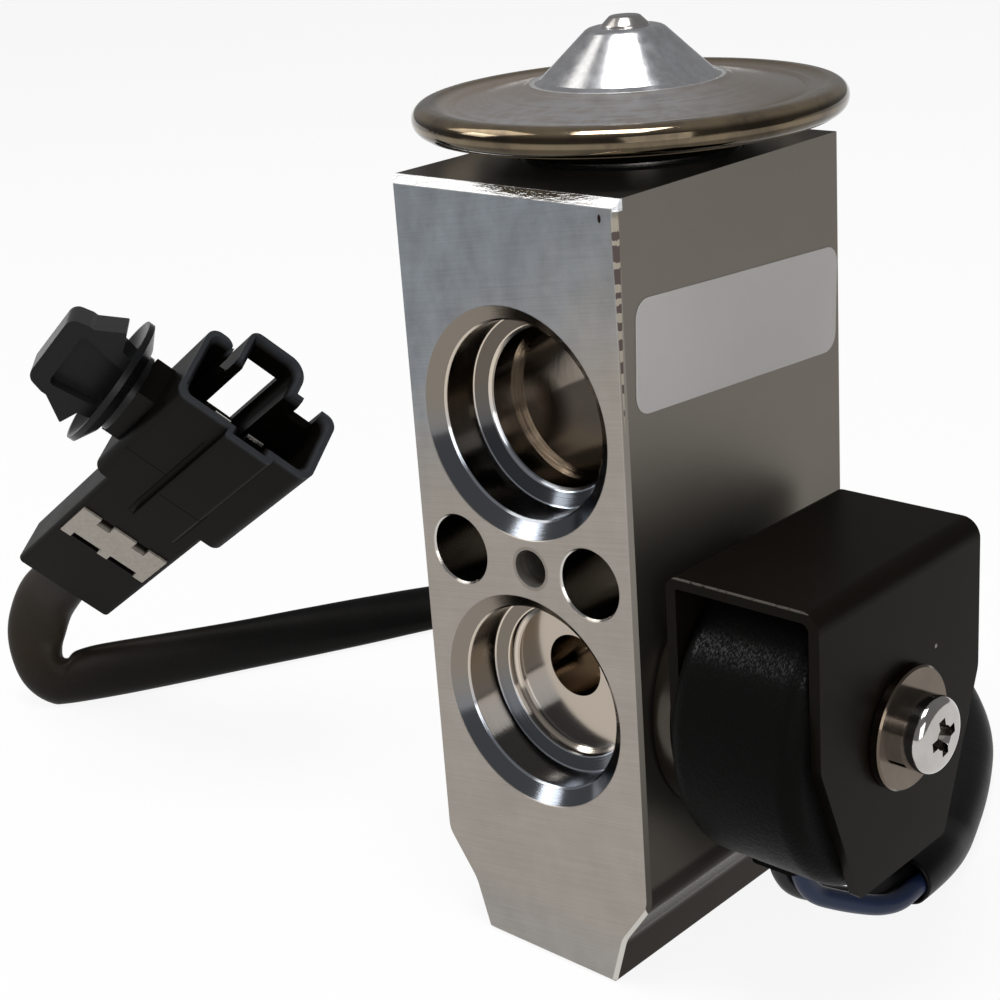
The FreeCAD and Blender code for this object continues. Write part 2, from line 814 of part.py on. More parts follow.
def make_solenoid_base():
    """Screwed base with the round flange that the bracket sits on."""
    thread = shank_radius - screw_clearance
    return revolve_x([
        (shank_start, tube_inner_radius), (shank_start, thread - edge_break),
        (shank_start + edge_break, thread), (half_width, thread),
        (half_width, flange_radius - flange_break), (half_width + flange_break, flange_radius),
        (bracket_inner - flange_break, flange_radius), (bracket_inner, flange_radius - flange_break),
        (bracket_inner, tube_outer_radius), (tube_start, tube_outer_radius),
        (tube_start, tube_inner_radius)])


def make_solenoid_ring():
    centre = point(half_width - screw_ring_radius, solenoid_y, solenoid_z)
    return ring(shank_radius + screw_ring_radius, screw_ring_radius - ring_gap, centre, X_AXIS)


def make_solenoid_tube():
    return revolve_x([
        (tube_start, tube_inner_radius), (tube_start, tube_outer_radius),
        (tube_end, tube_outer_radius), (tube_end, tube_inner_radius)])


def make_solenoid_core():
    """Fixed core with the cap that closes the tube and the thread for the coil screw."""
    core = revolve_x([
        (core_start, 0), (core_start, tube_inner_radius), (tube_end, tube_inner_radius),
        (tube_end, tube_outer_radius), (bracket_face, tube_outer_radius), (bracket_face, 0)])
    grip_start = bracket_face - coil_screw_grip - screw_tip_clearance
    return core.cut(rod_x(coil_screw_radius + thread_clearance, grip_start, bracket_face + 1))


def make_plunger():
    """Armature with a nose for the seal, two flow flats and a spring pocket."""
    radius = tube_inner_radius - plunger_clearance
    nose = plunger_tip + ring_gap
    plunger = revolve_x([
        (nose, 0), (nose, plunger_nose_radius), (plunger_body_start, plunger_neck_radius),
        (plunger_body_start, radius - edge_break), (plunger_body_start + edge_break, radius),
        (plunger_end, radius), (plunger_end, 0)])
    pocket_radius = plunger_spring_radius + plunger_spring_wire + pilot_clearance
    pocket = rod_x(pocket_radius, plunger_end - spring_pocket_depth, plunger_end + 1)
    flats = []
    for side in (-1, 1):
        flat = solenoid_y + side * (radius - plunger_flat_depth)
        beyond = solenoid_y + side * (radius + 1)
        flats.append(box(plunger_body_start - 1, plunger_end + 1, min(flat, beyond), max(flat, beyond),
                         solenoid_z - radius, solenoid_z + radius))
    return plunger.cut([pocket, make_plunger_seal()] + flats)


def make_plunger_seal():
    """Rubber disc set in the plunger's nose."""
    return rod_x(plunger_seal_radius, plunger_tip, plunger_tip + plunger_seal_thickness)


def make_plunger_spring():
    """Return spring from the plunger's pocket to the fixed core."""
    start = plunger_end - spring_pocket_depth
    spring = coil_spring(plunger_spring_radius, plunger_spring_wire, core_start - start, plunger_spring_turns)
    spring.rotate(ORIGIN, Y_AXIS, 90)
    spring.translate(point(start, solenoid_y, solenoid_z))
    return spring


def make_coil_bobbin():
    """Winding former: a thin barrel between two flanges."""
    barrel = coil_bore_radius + bobbin_wall
    return revolve_x([
        (bobbin_start, coil_bore_radius), (bobbin_start, bobbin_flange_radius),
        (winding_start, bobbin_flange_radius), (winding_start, barrel),
        (winding_end, barrel), (winding_end, bobbin_flange_radius),
        (bobbin_end, bobbin_flange_radius), (bobbin_end, coil_bore_radius)])


def make_coil_winding():
    barrel = coil_bore_radius + bobbin_wall
    return revolve_x([(winding_start, barrel), (winding_start, winding_radius),
                      (winding_end, winding_radius), (winding_end, barrel)])


def make_coil_case():
    """Moulded case round the bobbin, flat under the bracket, with the lead exit below."""
    case = revolve_x([(coil_start, 0), (coil_start, coil_radius, coil_edge),
                      (coil_end, coil_radius, coil_edge), (coil_end, 0)])
    boss_x = wire_route[0][0]
    boss_y = wire_route[0][1]
    boss_floor = solenoid_z - coil_radius - exit_boss_drop

    def place(flat):
        return point(boss_x + flat.x, boss_y + flat.y, boss_floor)
    half_w = exit_boss_width / 2
    half_l = exit_boss_length / 2
    boss = slab(rectangle(-half_w, half_w, -half_l, half_l, exit_boss_corner), place,
                point(0, 0, exit_boss_height))
    case = case.fuse(boss)
    flat_z = bracket_top - bracket_thickness - coil_flat_drop
    reach = coil_flat_bevel + 1

    def above(flat):
        return point(flat.x, solenoid_y - coil_radius, flat.y)
    case = case.cut(slab([
        (coil_start - 1, flat_z - reach, 0), (coil_start + coil_flat_bevel, flat_z, 0),
        (coil_end - coil_flat_bevel, flat_z, 0), (coil_end + 1, flat_z - reach, 0),
        (coil_end + 1, flat_z + coil_radius, 0), (coil_start - 1, flat_z + coil_radius, 0)],
        above, point(0, 2 * coil_radius, 0)))
    bore = rod_x(coil_bore_radius, coil_start - 1, coil_end + 1)
    wound = revolve_x([
        (bobbin_start, 0), (bobbin_start, bobbin_flange_radius), (winding_start, bobbin_flange_radius),
        (winding_start, winding_radius), (winding_end, winding_radius), (winding_end, bobbin_flange_radius),
        (bobbin_end, bobbin_flange_radius), (bobbin_end, 0)])
    return case.cut([bore, wound])


def make_coil_bracket():
    """Bent strip: round-ended inner plate, top and tapered outer plate."""
    half = bracket_width / 2

    def profile(flat):
        return point(flat.x, solenoid_y - half, flat.y)
    floor = solenoid_z - bracket_width
    strip = slab([
        (bracket_inner, floor, 0), (bracket_inner, bracket_top, bracket_inner_bend + bracket_thickness),
        (bracket_outer, bracket_top, bracket_outer_bend + bracket_thickness), (bracket_outer, floor, 0),
        (bracket_face, floor, 0), (bracket_face, bracket_top - bracket_thickness, bracket_outer_bend),
        (bracket_inner + bracket_thickness, bracket_top - bracket_thickness, bracket_inner_bend),
        (bracket_inner + bracket_thickness, floor, 0)], profile, point(0, bracket_width, 0))

    def inner_face(flat):
        return point(bracket_inner - 1, solenoid_y + flat.x, solenoid_z + flat.y)
    above = 2 * bracket_rise
    inner_keep = slab(rectangle(-half, half, 0, above, 0), inner_face, point(bracket_thickness + 2, 0, 0))
    inner_keep = inner_keep.fuse(rod_x(half, bracket_inner - 1, bracket_inner + bracket_thickness + 1))

    def outer_face(flat):
        return point(bracket_inner + bracket_thickness + 1, solenoid_y + flat.x, solenoid_z + flat.y)
    foot = bracket_foot_width / 2
    outer_keep = slab([
        (-half, bracket_shoulder_rise, bracket_shoulder_radius),
        (-foot, -bracket_drop, bracket_corner_radius),
        (foot, -bracket_drop, bracket_corner_radius), (half, bracket_shoulder_rise, bracket_shoulder_radius),
        (half, above, 0), (-half, above, 0)], outer_face, point(bracket_reach, 0, 0))
    bracket = strip.common(inner_keep.fuse(outer_keep))
    tube_hole = rod_x(coil_bore_radius, bracket_inner - 1, bracket_inner + bracket_thickness + 1)
    screw_hole = rod_x(coil_screw_radius + bracket_hole_clearance, bracket_face - 1, bracket_outer + 1)
    return bracket.cut([tube_hole, screw_hole])


def make_flat_washer():
    start = bracket_outer
    end = start + flat_washer_thickness
    return revolve_x([
        (start, washer_bore_radius), (start, flat_washer_radius - washer_break),
        (start + washer_break, flat_washer_radius), (end - washer_break, flat_washer_radius),
        (end, flat_washer_radius - washer_break), (end, washer_bore_radius)])


def make_spring_washer():
    """Split washer, closed flat by the screw."""
    start = bracket_outer + flat_washer_thickness
    washer = revolve_x([
        (start, washer_bore_radius), (start, spring_washer_radius),
        (start + spring_washer_thickness, spring_washer_radius),
        (start + spring_washer_thickness, washer_bore_radius)])
    split = box(start - 1, start + spring_washer_thickness + 1, -washer_split / 2, washer_split / 2, 0,
                spring_washer_radius + 1)
    split.rotate(ORIGIN, X_AXIS, washer_split_turn)
    split.translate(point(0, solenoid_y, solenoid_z))
    return washer.cut(split)


def make_coil_screw():
    """Pan-head screw with a cross recess."""
    seat = bracket_outer + flat_washer_thickness + spring_washer_thickness
    tip = bracket_face - coil_screw_grip
    crown = seat + coil_screw_head_height
    screw = revolve_x([
        (tip, 0), (tip, coil_screw_radius - edge_break), (tip + edge_break, coil_screw_radius),
        (seat, coil_screw_radius), (seat, coil_screw_head_radius),
        (crown - washer_break, coil_screw_head_radius, coil_screw_dome), (crown, cross_width), (crown, 0)])
    arms = []
    for turn in (cross_turn, cross_turn + 90):
        arm = Part.makeBox(cross_depth + 1, cross_length, cross_width,
                           point(crown - cross_depth, -cross_length / 2, -cross_width / 2))
        arm.rotate(ORIGIN, X_AXIS, turn)
        arm.translate(point(0, solenoid_y, solenoid_z))
        arms.append(arm)
    socket_depth = cross_depth + cross_root_depth
    socket = Part.makeCone(cross_root_radius, cross_mouth_radius, socket_depth,
                           point(crown - socket_depth, solenoid_y, solenoid_z), X_AXIS)
    return screw.cut(arms + [socket])


def make_wire(side):
    """One insulated wire from the coil's exit to the sleeve's mouth."""
    route = [(x + side * wire_pitch / 2, y, z) for x, y, z in wire_route]
    return lead_tube(route, wire_radius)


def make_dark_wire():
    return make_wire(-1)


def make_blue_wire():
    return make_wire(1)


def make_lead_sleeve():
    return lead_tube(sleeve_route, lead_sleeve_radius)


def plug_placement():
    """Plug frame: X along the plug, Y across it, Z through it."""
    pitch = FreeCAD.Rotation(Y_AXIS, -plug_pitch)
    roll = FreeCAD.Rotation(X_AXIS, plug_roll)
    return FreeCAD.Placement(point(plug_x, plug_y, plug_z), pitch.multiply(roll))


def placed(shape):
    moved = shape.copy()
    moved.Placement = plug_placement().multiply(moved.Placement)
    return moved


def plug_slab(corners, start, end):
    """Prism along the plug from (across, through, radius) corners."""
    def place(flat):
        return point(start, flat.x, flat.y)
    return slab(corners, place, point(end - start, 0, 0))


def retainer_pocket(gap):
    """Envelope of the retainer, widened by a gap."""
    near = -rear_thickness / 2
    half = retainer_width / 2 + gap
    return box(retainer_start - gap, retainer_start + retainer_length + gap, -half, half,
               near - 5, near + retainer_depth + gap)


def grown(corners, gap):
    """Corners moved outwards by a gap from their common middle, axis by axis."""
    mid_u = sum(corner[0] for corner in corners) / len(corners)
    mid_v = sum(corner[1] for corner in corners) / len(corners)
    return [(u + math.copysign(gap, u - mid_u), v + math.copysign(gap, v - mid_v), radius)
            for u, v, radius in corners]


def mouth_cut(corners, floor):
    """Pocket open at the plug's end, with a sloping lead-in round its mouth."""
    def wire(outline, station):
        def place(flat):
            return point(station, flat.x, flat.y)
        return rounded_loop(outline, place)
    pocket = plug_slab(corners, floor, plug_length + 1)
    inner = wire(corners, plug_length - lead_in_depth)
    outer = wire(grown(corners, lead_in), plug_length)
    return [pocket, Part.makeLoft([inner, outer], True, True)]


def make_connector_housing():
    """Moulded plug housing: flat rear body and a wide shroud with an arched latch bridge."""
    near = -rear_thickness / 2
    far = rear_thickness / 2
    rear_half = rear_width / 2
    rear = plug_slab(rectangle(-rear_half, rear_half, near, far, rear_corner), 0, shroud_start + 1)
    left = shroud_shift - shroud_width / 2
    right = shroud_shift + shroud_width / 2
    shroud_far = near + shroud_thickness
    shroud = plug_slab(rectangle(left, right, near, shroud_far, shroud_corner), shroud_start, plug_length)
    arch_left = arch_shift - arch_width / 2
    arch_right = arch_shift + arch_width / 2
    arch_far = shroud_far + arch_height
    arch = plug_slab([
        (arch_left, shroud_far - shroud_corner, 0), (arch_right, shroud_far - shroud_corner, 0),
        (arch_right, arch_far, arch_far_corner), (arch_left, arch_far, arch_corner)], arch_start, plug_length)
    shoulder_right = arch_left - far_slit_width
    shoulder_far = shroud_far + shroud_rise
    shoulder = plug_slab(rectangle(left, shoulder_right, near + shroud_corner, shoulder_far, shroud_corner),
                         shroud_start, plug_length)
    key_left = key_shift - key_width / 2
    key_right = key_shift + key_width / 2
    key_near = near - key_height
    key = plug_slab([
        (key_left, key_near, key_corner), (key_right, key_near, key_corner),
        (key_right, near + 1, 0), (key_left, near + 1, 0)], plug_length - key_length, plug_length)
    housing = rear.fuse([shroud, arch, shoulder, key])

    wall = shroud_wall
    floor = plug_length - shroud_depth
    hollow_far = shroud_far - wall
    cuts = mouth_cut(rectangle(left + wall, right - wall, near + wall, hollow_far, wall), floor)
    cuts += mouth_cut([
        (arch_left + wall, hollow_far - wall, 0), (arch_right - wall, hollow_far - wall, 0),
        (arch_right - wall, arch_far - wall, arch_far_corner - wall),
        (arch_left + wall, arch_far - wall, 0)], floor)
    shoulder_inner = shoulder_right - wall / 2
    cuts += mouth_cut([
        (left + wall, hollow_far - wall, 0), (shoulder_inner, hollow_far - wall, 0),
        (shoulder_inner, shoulder_far - wall, 0), (left + wall, shoulder_far - wall, wall)], floor)
    cuts += mouth_cut([
        (key_left + wall, key_near + wall, 0), (key_right - wall, key_near + wall, 0),
        (key_right - wall, near + 2 * wall, 0), (key_left + wall, near + 2 * wall, 0)], floor)
    window_end = plug_length - arch_window_rim
    window_centre = arch_shift + arch_window_shift
    cuts.append(box(window_end - arch_window_length, window_end, window_centre - arch_window_width / 2,
                    window_centre + arch_window_width / 2, shroud_far, arch_far + 1))
    cuts.append(box(plug_length - far_slit_depth, plug_length + 1, shoulder_right, arch_left, hollow_far - 1,
                    arch_far + 1))
    notch_left = arch_right + far_notch_gap
    notch = plug_slab(rectangle(notch_left, notch_left + far_notch_width, hollow_far - 1, shroud_far + 1, 0),
                      plug_length - far_notch_depth, plug_length + 1)
    housing = housing.cut(cuts + [notch, retainer_pocket(retainer_gap)])

    for side in (-1, 1):
        low = shroud_shift + (side * blade_pitch - blade_width) / 2
        housing = housing.cut(box(floor - blade_root, floor + 1, low, low + blade_width,
                                  -blade_thickness / 2, blade_thickness / 2))
    rail = box(clip_station - rail_length / 2, clip_station + rail_length / 2, left - rail_height,
               left + shroud_wall / 2, shroud_mid() - rail_width / 2, shroud_mid() + rail_width / 2)
    return placed(housing.fuse(rail).removeSplitter())


def shroud_mid():
    return -rear_thickness / 2 + shroud_thickness / 2


def make_connector_retainer():
    """Light insert that locks the contacts, with two tooth gaps and two slots in its edges."""
    near = -rear_thickness / 2
    half = retainer_width / 2
    end = retainer_start + retainer_length
    body = box(retainer_start, end, -half, half, near - retainer_proud, near + retainer_depth)
    gaps = []
    for side in (-1, 1):
        tooth = side * retainer_tooth_spread - retainer_tooth / 2
        gaps.append(box(end - retainer_tooth_length, end + 1, tooth, tooth + retainer_tooth,
                        near - 1, near + retainer_tooth_depth))
        low = min(side * retainer_slot_start, side * retainer_slot_end)
        high = max(side * retainer_slot_start, side * retainer_slot_end)
        gaps.append(box(retainer_start - 1, retainer_start + retainer_slot_length, low, high,
                        near - 1, near + retainer_slot_depth))
    return placed(body.cut(gaps))


def make_connector_blades():
    """Two tab contacts in the shroud."""
    root = plug_length - shroud_depth - blade_root
    tip = plug_length - shroud_depth + blade_reach
    blades = []
    for side in (-1, 1):
        low = shroud_shift + (side * blade_pitch - blade_width) / 2
        blade = box(root, tip, low, low + blade_width, -blade_thickness / 2, blade_thickness / 2)
        tip_edges = [edge for edge in blade.Edges
                     if edge.BoundBox.XMin > tip - 1e-6 and edge.Length > blade_thickness * 2]
        blades.append(placed(blade.makeChamfer(blade_tip_break, tip_edges)))
    return Part.makeCompound(blades)


def make_connector_clip():
    """Push-in clip: dished disc and an arched head with two barbs, hollowed from both sides."""
    def upright(flat):
        return point(flat.x, -clip_depth / 2, flat.y)
    inner = clip_disc_radius - clip_disc_slope
    rim_floor_height = clip_disc_floor + clip_disc_dish
    rim_top_height = rim_floor_height + clip_disc_rim
    disc_top = clip_disc_floor + clip_disc_thickness
    disc = revolve_z([
        (0, 0), (clip_boss_radius, 0), (clip_boss_radius, clip_disc_floor), (inner, clip_disc_floor),
        (clip_disc_radius, rim_floor_height), (clip_disc_radius, rim_top_height),
        (clip_disc_radius - clip_disc_rim / 2, rim_top_height), (inner - clip_disc_rim / 2, disc_top),
        (0, disc_top)], 0)
    cap_floor = clip_height - clip_cap_thickness
    half_leg = clip_leg_thickness / 2
    half_outline = [
        (clip_leg_half_width, clip_disc_floor, 0), (clip_leg_half_width + half_leg, clip_barb_foot, 0),
        (clip_barb_half_width, clip_barb_height, clip_barb_tip_radius),
        (clip_shoulder_half_width, cap_floor - half_leg, 0),
        (clip_shoulder_half_width, cap_floor, 0), (clip_cap_half_width, clip_height, clip_cap_corner)]
    half_hollow = [
        (clip_leg_half_width - clip_leg_thickness, disc_top, half_leg),
        (clip_shoulder_half_width - clip_leg_thickness, cap_floor, half_leg)]

    def whole(half):
        return half + [(-u, v, radius) for u, v, radius in reversed(half)]
    body = slab(whole(half_outline), upright, point(0, clip_depth, 0))
    hollow = slab(whole(half_hollow), upright, point(0, (clip_depth - clip_web_thickness) / 2, 0))
    behind = hollow.copy()
    behind.translate(point(0, (clip_depth + clip_web_thickness) / 2, 0))
    clip = disc.fuse(body.cut([hollow, behind])).removeSplitter()
    clip.rotate(ORIGIN, Z_AXIS, clip_turn)
    clip.rotate(ORIGIN, X_AXIS, 90)
    clip.translate(point(clip_station, shroud_shift - shroud_width / 2 - rail_height, shroud_mid()))
    return placed(clip)


parts = {
    "valve_block": make_block,
    "setting_screw": make_setting_screw,
    "setting_ring": make_setting_ring,
    "superheat_spring": make_superheat_spring,
    "spring_cup": make_spring_cup,
    "valve_ball": make_valve_ball,
    "push_pin": make_push_pin,
    "sensing_rod": make_sensing_rod,
    "rod_seal": make_rod_seal,
    "rod_seal_retainer": make_rod_seal_retainer,
    "head_sleeve": make_head_sleeve,
    "head_ring": make_head_ring,
    "head_lower_cover": make_lower_cover,
    "head_upper_cover": make_upper_cover,
    "charge_plug": make_charge_plug,
    "diaphragm": make_diaphragm,
    "pressure_pad": make_pressure_pad,
    "solenoid_base": make_solenoid_base,
    "solenoid_ring": make_solenoid_ring,
    "solenoid_tube": make_solenoid_tube,
    "solenoid_core": make_solenoid_core,
    "plunger": make_plunger,
    "plunger_seal": make_plunger_seal,
    "plunger_spring": make_plunger_spring,
    "coil_bobbin": make_coil_bobbin,
    "coil_winding": make_coil_winding,
    "coil_case": make_coil_case,
    "coil_bracket": make_coil_bracket,
    "flat_washer": make_flat_washer,
    "spring_washer": make_spring_washer,
    "coil_screw": make_coil_screw,
    "dark_wire": make_dark_wire,
    "blue_wire": make_blue_wire,
    "lead_sleeve": make_lead_sleeve,
    "connector_housing": make_connector_housing,
    "connector_retainer": make_connector_retainer,
    "connector_blades": make_connector_blades,
    "connector_clip": make_connector_clip,
}

os.makedirs("parts", exist_ok=True)
for name, maker in parts.items():
    shape = maker()
    if not shape.isValid():
        print("not valid:", name)
    shape.exportStep("parts/%s.step" % name)
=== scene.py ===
import math

import bmesh
import bpy
import numpy as np
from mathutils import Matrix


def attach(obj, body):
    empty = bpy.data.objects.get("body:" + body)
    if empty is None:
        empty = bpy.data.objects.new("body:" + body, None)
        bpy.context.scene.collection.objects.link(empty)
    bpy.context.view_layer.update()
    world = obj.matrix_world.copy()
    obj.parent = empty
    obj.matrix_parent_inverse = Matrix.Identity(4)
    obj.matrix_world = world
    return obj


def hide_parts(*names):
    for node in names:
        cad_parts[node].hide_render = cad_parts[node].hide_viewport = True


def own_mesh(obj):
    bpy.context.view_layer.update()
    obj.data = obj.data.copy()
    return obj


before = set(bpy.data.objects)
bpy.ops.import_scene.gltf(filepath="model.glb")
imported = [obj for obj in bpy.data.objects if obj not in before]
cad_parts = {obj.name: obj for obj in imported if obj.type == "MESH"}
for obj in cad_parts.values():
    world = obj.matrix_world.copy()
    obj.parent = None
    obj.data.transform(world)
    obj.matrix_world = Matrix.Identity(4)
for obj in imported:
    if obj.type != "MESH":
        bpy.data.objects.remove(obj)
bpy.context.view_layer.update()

# Valve block
# A length of extruded aluminium bar with a narrowed foot, faced front and back, its front top
# edge milled off and its mouths turned. One front corner is nicked all down its upper half.
BLOCK_HALF_WIDTH = 0.0150
BLOCK_HALF_DEPTH = 0.0185
BLOCK_HEIGHT = 0.0880
FOOT_TOP = 0.0142
SKIN = 0.00012
EDGE = 0.0007
TOP_EDGE = 0.0012
TOOL_SLANT = 0.17
FACE_WARM = (0.340, 0.308, 0.274)
FACE_COOL = (0.205, 0.222, 0.242)
COOL_UP = 42
COOL_LEFT = 26
# Flanks: darker than the faced metal, partly for their drawn finish and partly as painted shade.
FLANK = (0.205, 0.188, 0.163)
# Slopes of the foot: painted shade under the block.
FOOT_SHADE = (0.026, 0.023, 0.021)
# Milled top edge: its bright colour is partly the fresh cut and partly a painted highlight from above.
MILLED_EDGE_HIGHLIGHT = (0.80, 0.81, 0.83)
ALUMINIUM_EDGE = (0.56, 0.55, 0.54)
# Ports: height of the axis and reach of the mouth, then the depth in millimetres at which each
# turned step begins, with its brightness: painted highlights on the step edges and painted shade
# on the walls between.
SUCTION = (0.0634, 0.0127)
LIQUID = (0.0319, 0.0124)
SUCTION_LEVELS = ((0.00, 0.20), (1.25, 0.52), (1.45, 0.33), (5.42, 0.55), (5.56, 0.11), (6.32, 0.58),
                  (6.56, 0.28), (9.40, 0.60), (10.80, 0.25))
LIQUID_LEVELS = ((0.00, 0.21), (1.25, 0.50), (1.45, 0.27), (5.42, 0.55), (5.56, 0.17), (6.14, 0.58),
                 (6.34, 0.28), (6.94, 0.55), (7.14, 0.42))
# Bore colours: the cool one is a painted reflection on the lower half of each mouth.
BORE_WARM = (0.420, 0.365, 0.305)
BORE_COOL_REFLECTION = (0.330, 0.350, 0.385)
BORE_REACH = 0.0120
BORE_SCALE = 2.5
FLOOR_OF_PORT = 0.0070
HOLE = (0.550, 0.525, 0.490)
# Tapped hole: its place across and up the face.
STUD = (0.0011, 0.0477)
STUD_RADIUS = 0.0024
THREAD = (0.46, 0.435, 0.40)
# Nicks: lower and upper end of each in millimetres, and the worn strip that they cross, which
# is wider towards its top.
NICKS = ((62.0, 62.5), (64.2, 64.8), (66.7, 67.4), (69.1, 69.9), (71.0, 72.1), (73.4, 74.5), (75.3, 76.2),
         (77.0, 77.8), (78.4, 79.0), (79.8, 81.4), (82.0, 83.6), (84.1, 84.9))
NICKS_LOW = 0.060
NICKS_SPAN = 0.026
NICK_RAGGED = 0.0006
STRIP_LOW = 0.0595
STRIP_HIGH = 0.0866
STRIP_FOOT = 0.00018
STRIP_FLARE = 0.0130
STRIP_PALE = (0.33, 0.295, 0.240)
NICK_DARK = (0.085, 0.066, 0.062)
# Small dark spot near the worn corner: its place, its half sizes and its colour.
SPOT = (0.01305, 0.08610)
SPOT_HALF = (0.00020, 0.00042)
SPOT_DARK = (0.02, 0.012, 0.012)
TOOL_RELIEF = 0.000012


class Socket:
    """An output of a shader node; arithmetic on it with numbers or other outputs adds Math nodes."""

    def __init__(self, finish, output):
        self.finish = finish
        self.output = output

    def maths(self, operation, *values):
        """A Math node of one operation on numbers or outputs."""
        return self.finish.node("ShaderNodeMath", {"operation": operation}, dict(enumerate(values)))

    def __add__(self, other):
        return self.maths("ADD", self, other)

    def __radd__(self, other):
        return self.maths("ADD", other, self)

    def __sub__(self, other):
        return self.maths("SUBTRACT", self, other)

    def __rsub__(self, other):
        return self.maths("SUBTRACT", other, self)

    def __mul__(self, other):
        return self.maths("MULTIPLY", self, other)

    def __rmul__(self, other):
        return self.maths("MULTIPLY", other, self)

    def __truediv__(self, other):
        return self.maths("DIVIDE", self, other)

    def __pow__(self, other):
        return self.maths("POWER", self, other)

    def __abs__(self):
        return self.maths("ABSOLUTE", self)

    def most(self, other):
        """The larger of the two."""
        return self.maths("MAXIMUM", self, other)

    def rise(self, low, high):
        """0 below low, 1 above high and a smooth step between; falls instead when low > high."""
        ends = {"From Min": low, "From Max": high}
        if low > high:
            ends = {"From Min": high, "From Max": low, "To Min": 1.0, "To Max": 0.0}
        return self.finish.node("ShaderNodeMapRange", {"interpolation_type": "SMOOTHSTEP"},
                                {"Value": self, **ends})

    def band(self, middle, half, soft):
        """1 within half of the middle, falling to 0 over a soft edge."""
        return abs(self - middle).rise(half + soft, half)


class Finish:
    """A material: a Principled shader with constants, and the nodes that vary it over a surface."""

    def __init__(self, name, **constants):
        self.material = bpy.data.materials.new(name)
        self.material.use_nodes = True
        self.tree = self.material.node_tree
        self.shader = self.tree.nodes["Principled BSDF"]
        for socket, value in constants.items():
            entry = self.shader.inputs[socket.replace("_", " ")]
            entry.default_value = (*value, 1.0) if isinstance(value, tuple) else value
        self.place = self.node("ShaderNodeTexCoord", {}, {}, "Object")

    def node(self, kind, settings, sockets, output=0):
        """One node of a type: settings or a ramp's stops first, then values or links by socket."""
        made = self.tree.nodes.new(kind)
        for name, value in settings.items():
            if name == "stops":
                self.fill(made.color_ramp, value)
            else:
                setattr(made, name, value)
        for name, value in sockets.items():
            self.join(made.inputs[name], value)
        return Socket(self, made.outputs[output])

    def fill(self, ramp, stops):
        """Sets a ramp that holds each stop's level up to the next stop."""
        ramp.interpolation = "CONSTANT"
        while len(ramp.elements) < len(stops):
            ramp.elements.new(1.0)
        for element, (place, level) in zip(ramp.elements, stops):
            element.position = place
            element.color = (level, level, level, 1.0)

    def join(self, entry, value):
        """Links an output to a node's socket, or sets the socket to a number or colour."""
        if isinstance(value, Socket):
            self.tree.links.new(value.output, entry)
        elif entry.type == "RGBA":
            entry.default_value = (*value, 1.0)
        else:
            entry.default_value = value

    def feed(self, **values):
        """Links to the shader's own sockets, such as Base_Color or Roughness."""
        for name, value in values.items():
            self.join(self.shader.inputs[name.replace("_", " ")], value)

    def axes(self):
        """The three coordinates on the object, in metres."""
        split = self.tree.nodes.new("ShaderNodeSeparateXYZ")
        self.join(split.inputs[0], self.place)
        return [Socket(self, output) for output in split.outputs]

    def vector(self, operation, first, second, output=0):
        """Vector Math on two vectors or colours."""
        return self.node("ShaderNodeVectorMath", {"operation": operation}, {0: first, 1: second}, output)

    def point(self, x, y, z):
        """Vector from three numbers or outputs."""
        return self.node("ShaderNodeCombineXYZ", {}, {0: x, 1: y, 2: z})

    def steps(self, value, stops):
        """A level that each stop holds up to the next; the value runs from 0 to 1."""
        return self.node("ShaderNodeValToRGB", {"stops": stops}, {0: value})

    def along(self, direction, centre):
        """Distance from a centre along a direction."""
        return self.vector("DOT_PRODUCT", self.vector("SUBTRACT", self.place, centre), direction, "Value")

    def noise(self, scale, detail=3.0, roughness=0.5, place=None):
        """Cloudy noise from 0 to 1; scale is cells per metre, one number or one for each axis."""
        if not isinstance(scale, tuple):
            scale = (scale,) * 3
        scaled = self.vector("MULTIPLY", place or self.place, scale)
        return self.node("ShaderNodeTexNoise", {}, {"Vector": scaled, "Scale": 1.0, "Detail": detail,
                                                    "Roughness": roughness})

    def mix(self, mask, low, high):
        """Colour that goes from low to high with the mask."""
        made = self.tree.nodes.new("ShaderNodeMix")
        made.data_type = "RGBA"
        for number, value in ((0, mask), (6, low), (7, high)):
            self.join(made.inputs[number], value)
        return Socket(self, made.outputs[2])

    def shade(self, colour, level):
        """Colour multiplied by a level that varies about 1."""
        return self.vector("MULTIPLY", colour, self.point(level, level, level))

    def bump(self, height, distance):
        """Relief: height from 0 to 1 stands for a distance in metres."""
        relief = self.node("ShaderNodeBump", {}, {"Height": height, "Distance": distance, "Strength": 1.0})
        self.feed(Normal=relief)


def dress(finish, *nodes):
    """Gives nodes of the frame a finish."""
    for name in nodes:
        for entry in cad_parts[name].material_slots:
            entry.material = finish.material


def nick_stops():
    """Stops of 1 at each nick's lower end and 0 at its upper end, as shares of the nicked span."""
    ends = [(0.0, 0.0)]
    for low, high in NICKS:
        ends += [((low / 1000 - NICKS_LOW) / NICKS_SPAN, 1.0), ((high / 1000 - NICKS_LOW) / NICKS_SPAN, 0.0)]
    return ends


def port_wall(finish, x, z, depth):
    """Turned ports: a level for each depth, with painted highlights on the corners and painted shade between,
    and a cooler painted reflection on the lower half.
    """
    colour = HOLE
    for (height, reach), levels in ((SUCTION, SUCTION_LEVELS), (LIQUID, LIQUID_LEVELS)):
        inside = ((x * x + (z - height) ** 2.0) ** 0.5).rise(reach + 0.0002, reach)
        stops = [(place / 1000 / BORE_REACH, bright) for place, bright in levels]
        level = BORE_SCALE * finish.steps(depth / BORE_REACH, stops)
        below = (z - height).rise(0.002, -0.006) * depth.rise(FLOOR_OF_PORT, FLOOR_OF_PORT - 0.0003)
        metal = finish.mix(below, BORE_WARM, BORE_COOL_REFLECTION)
        colour = finish.mix(inside, colour, finish.shade(metal, level))
    return colour


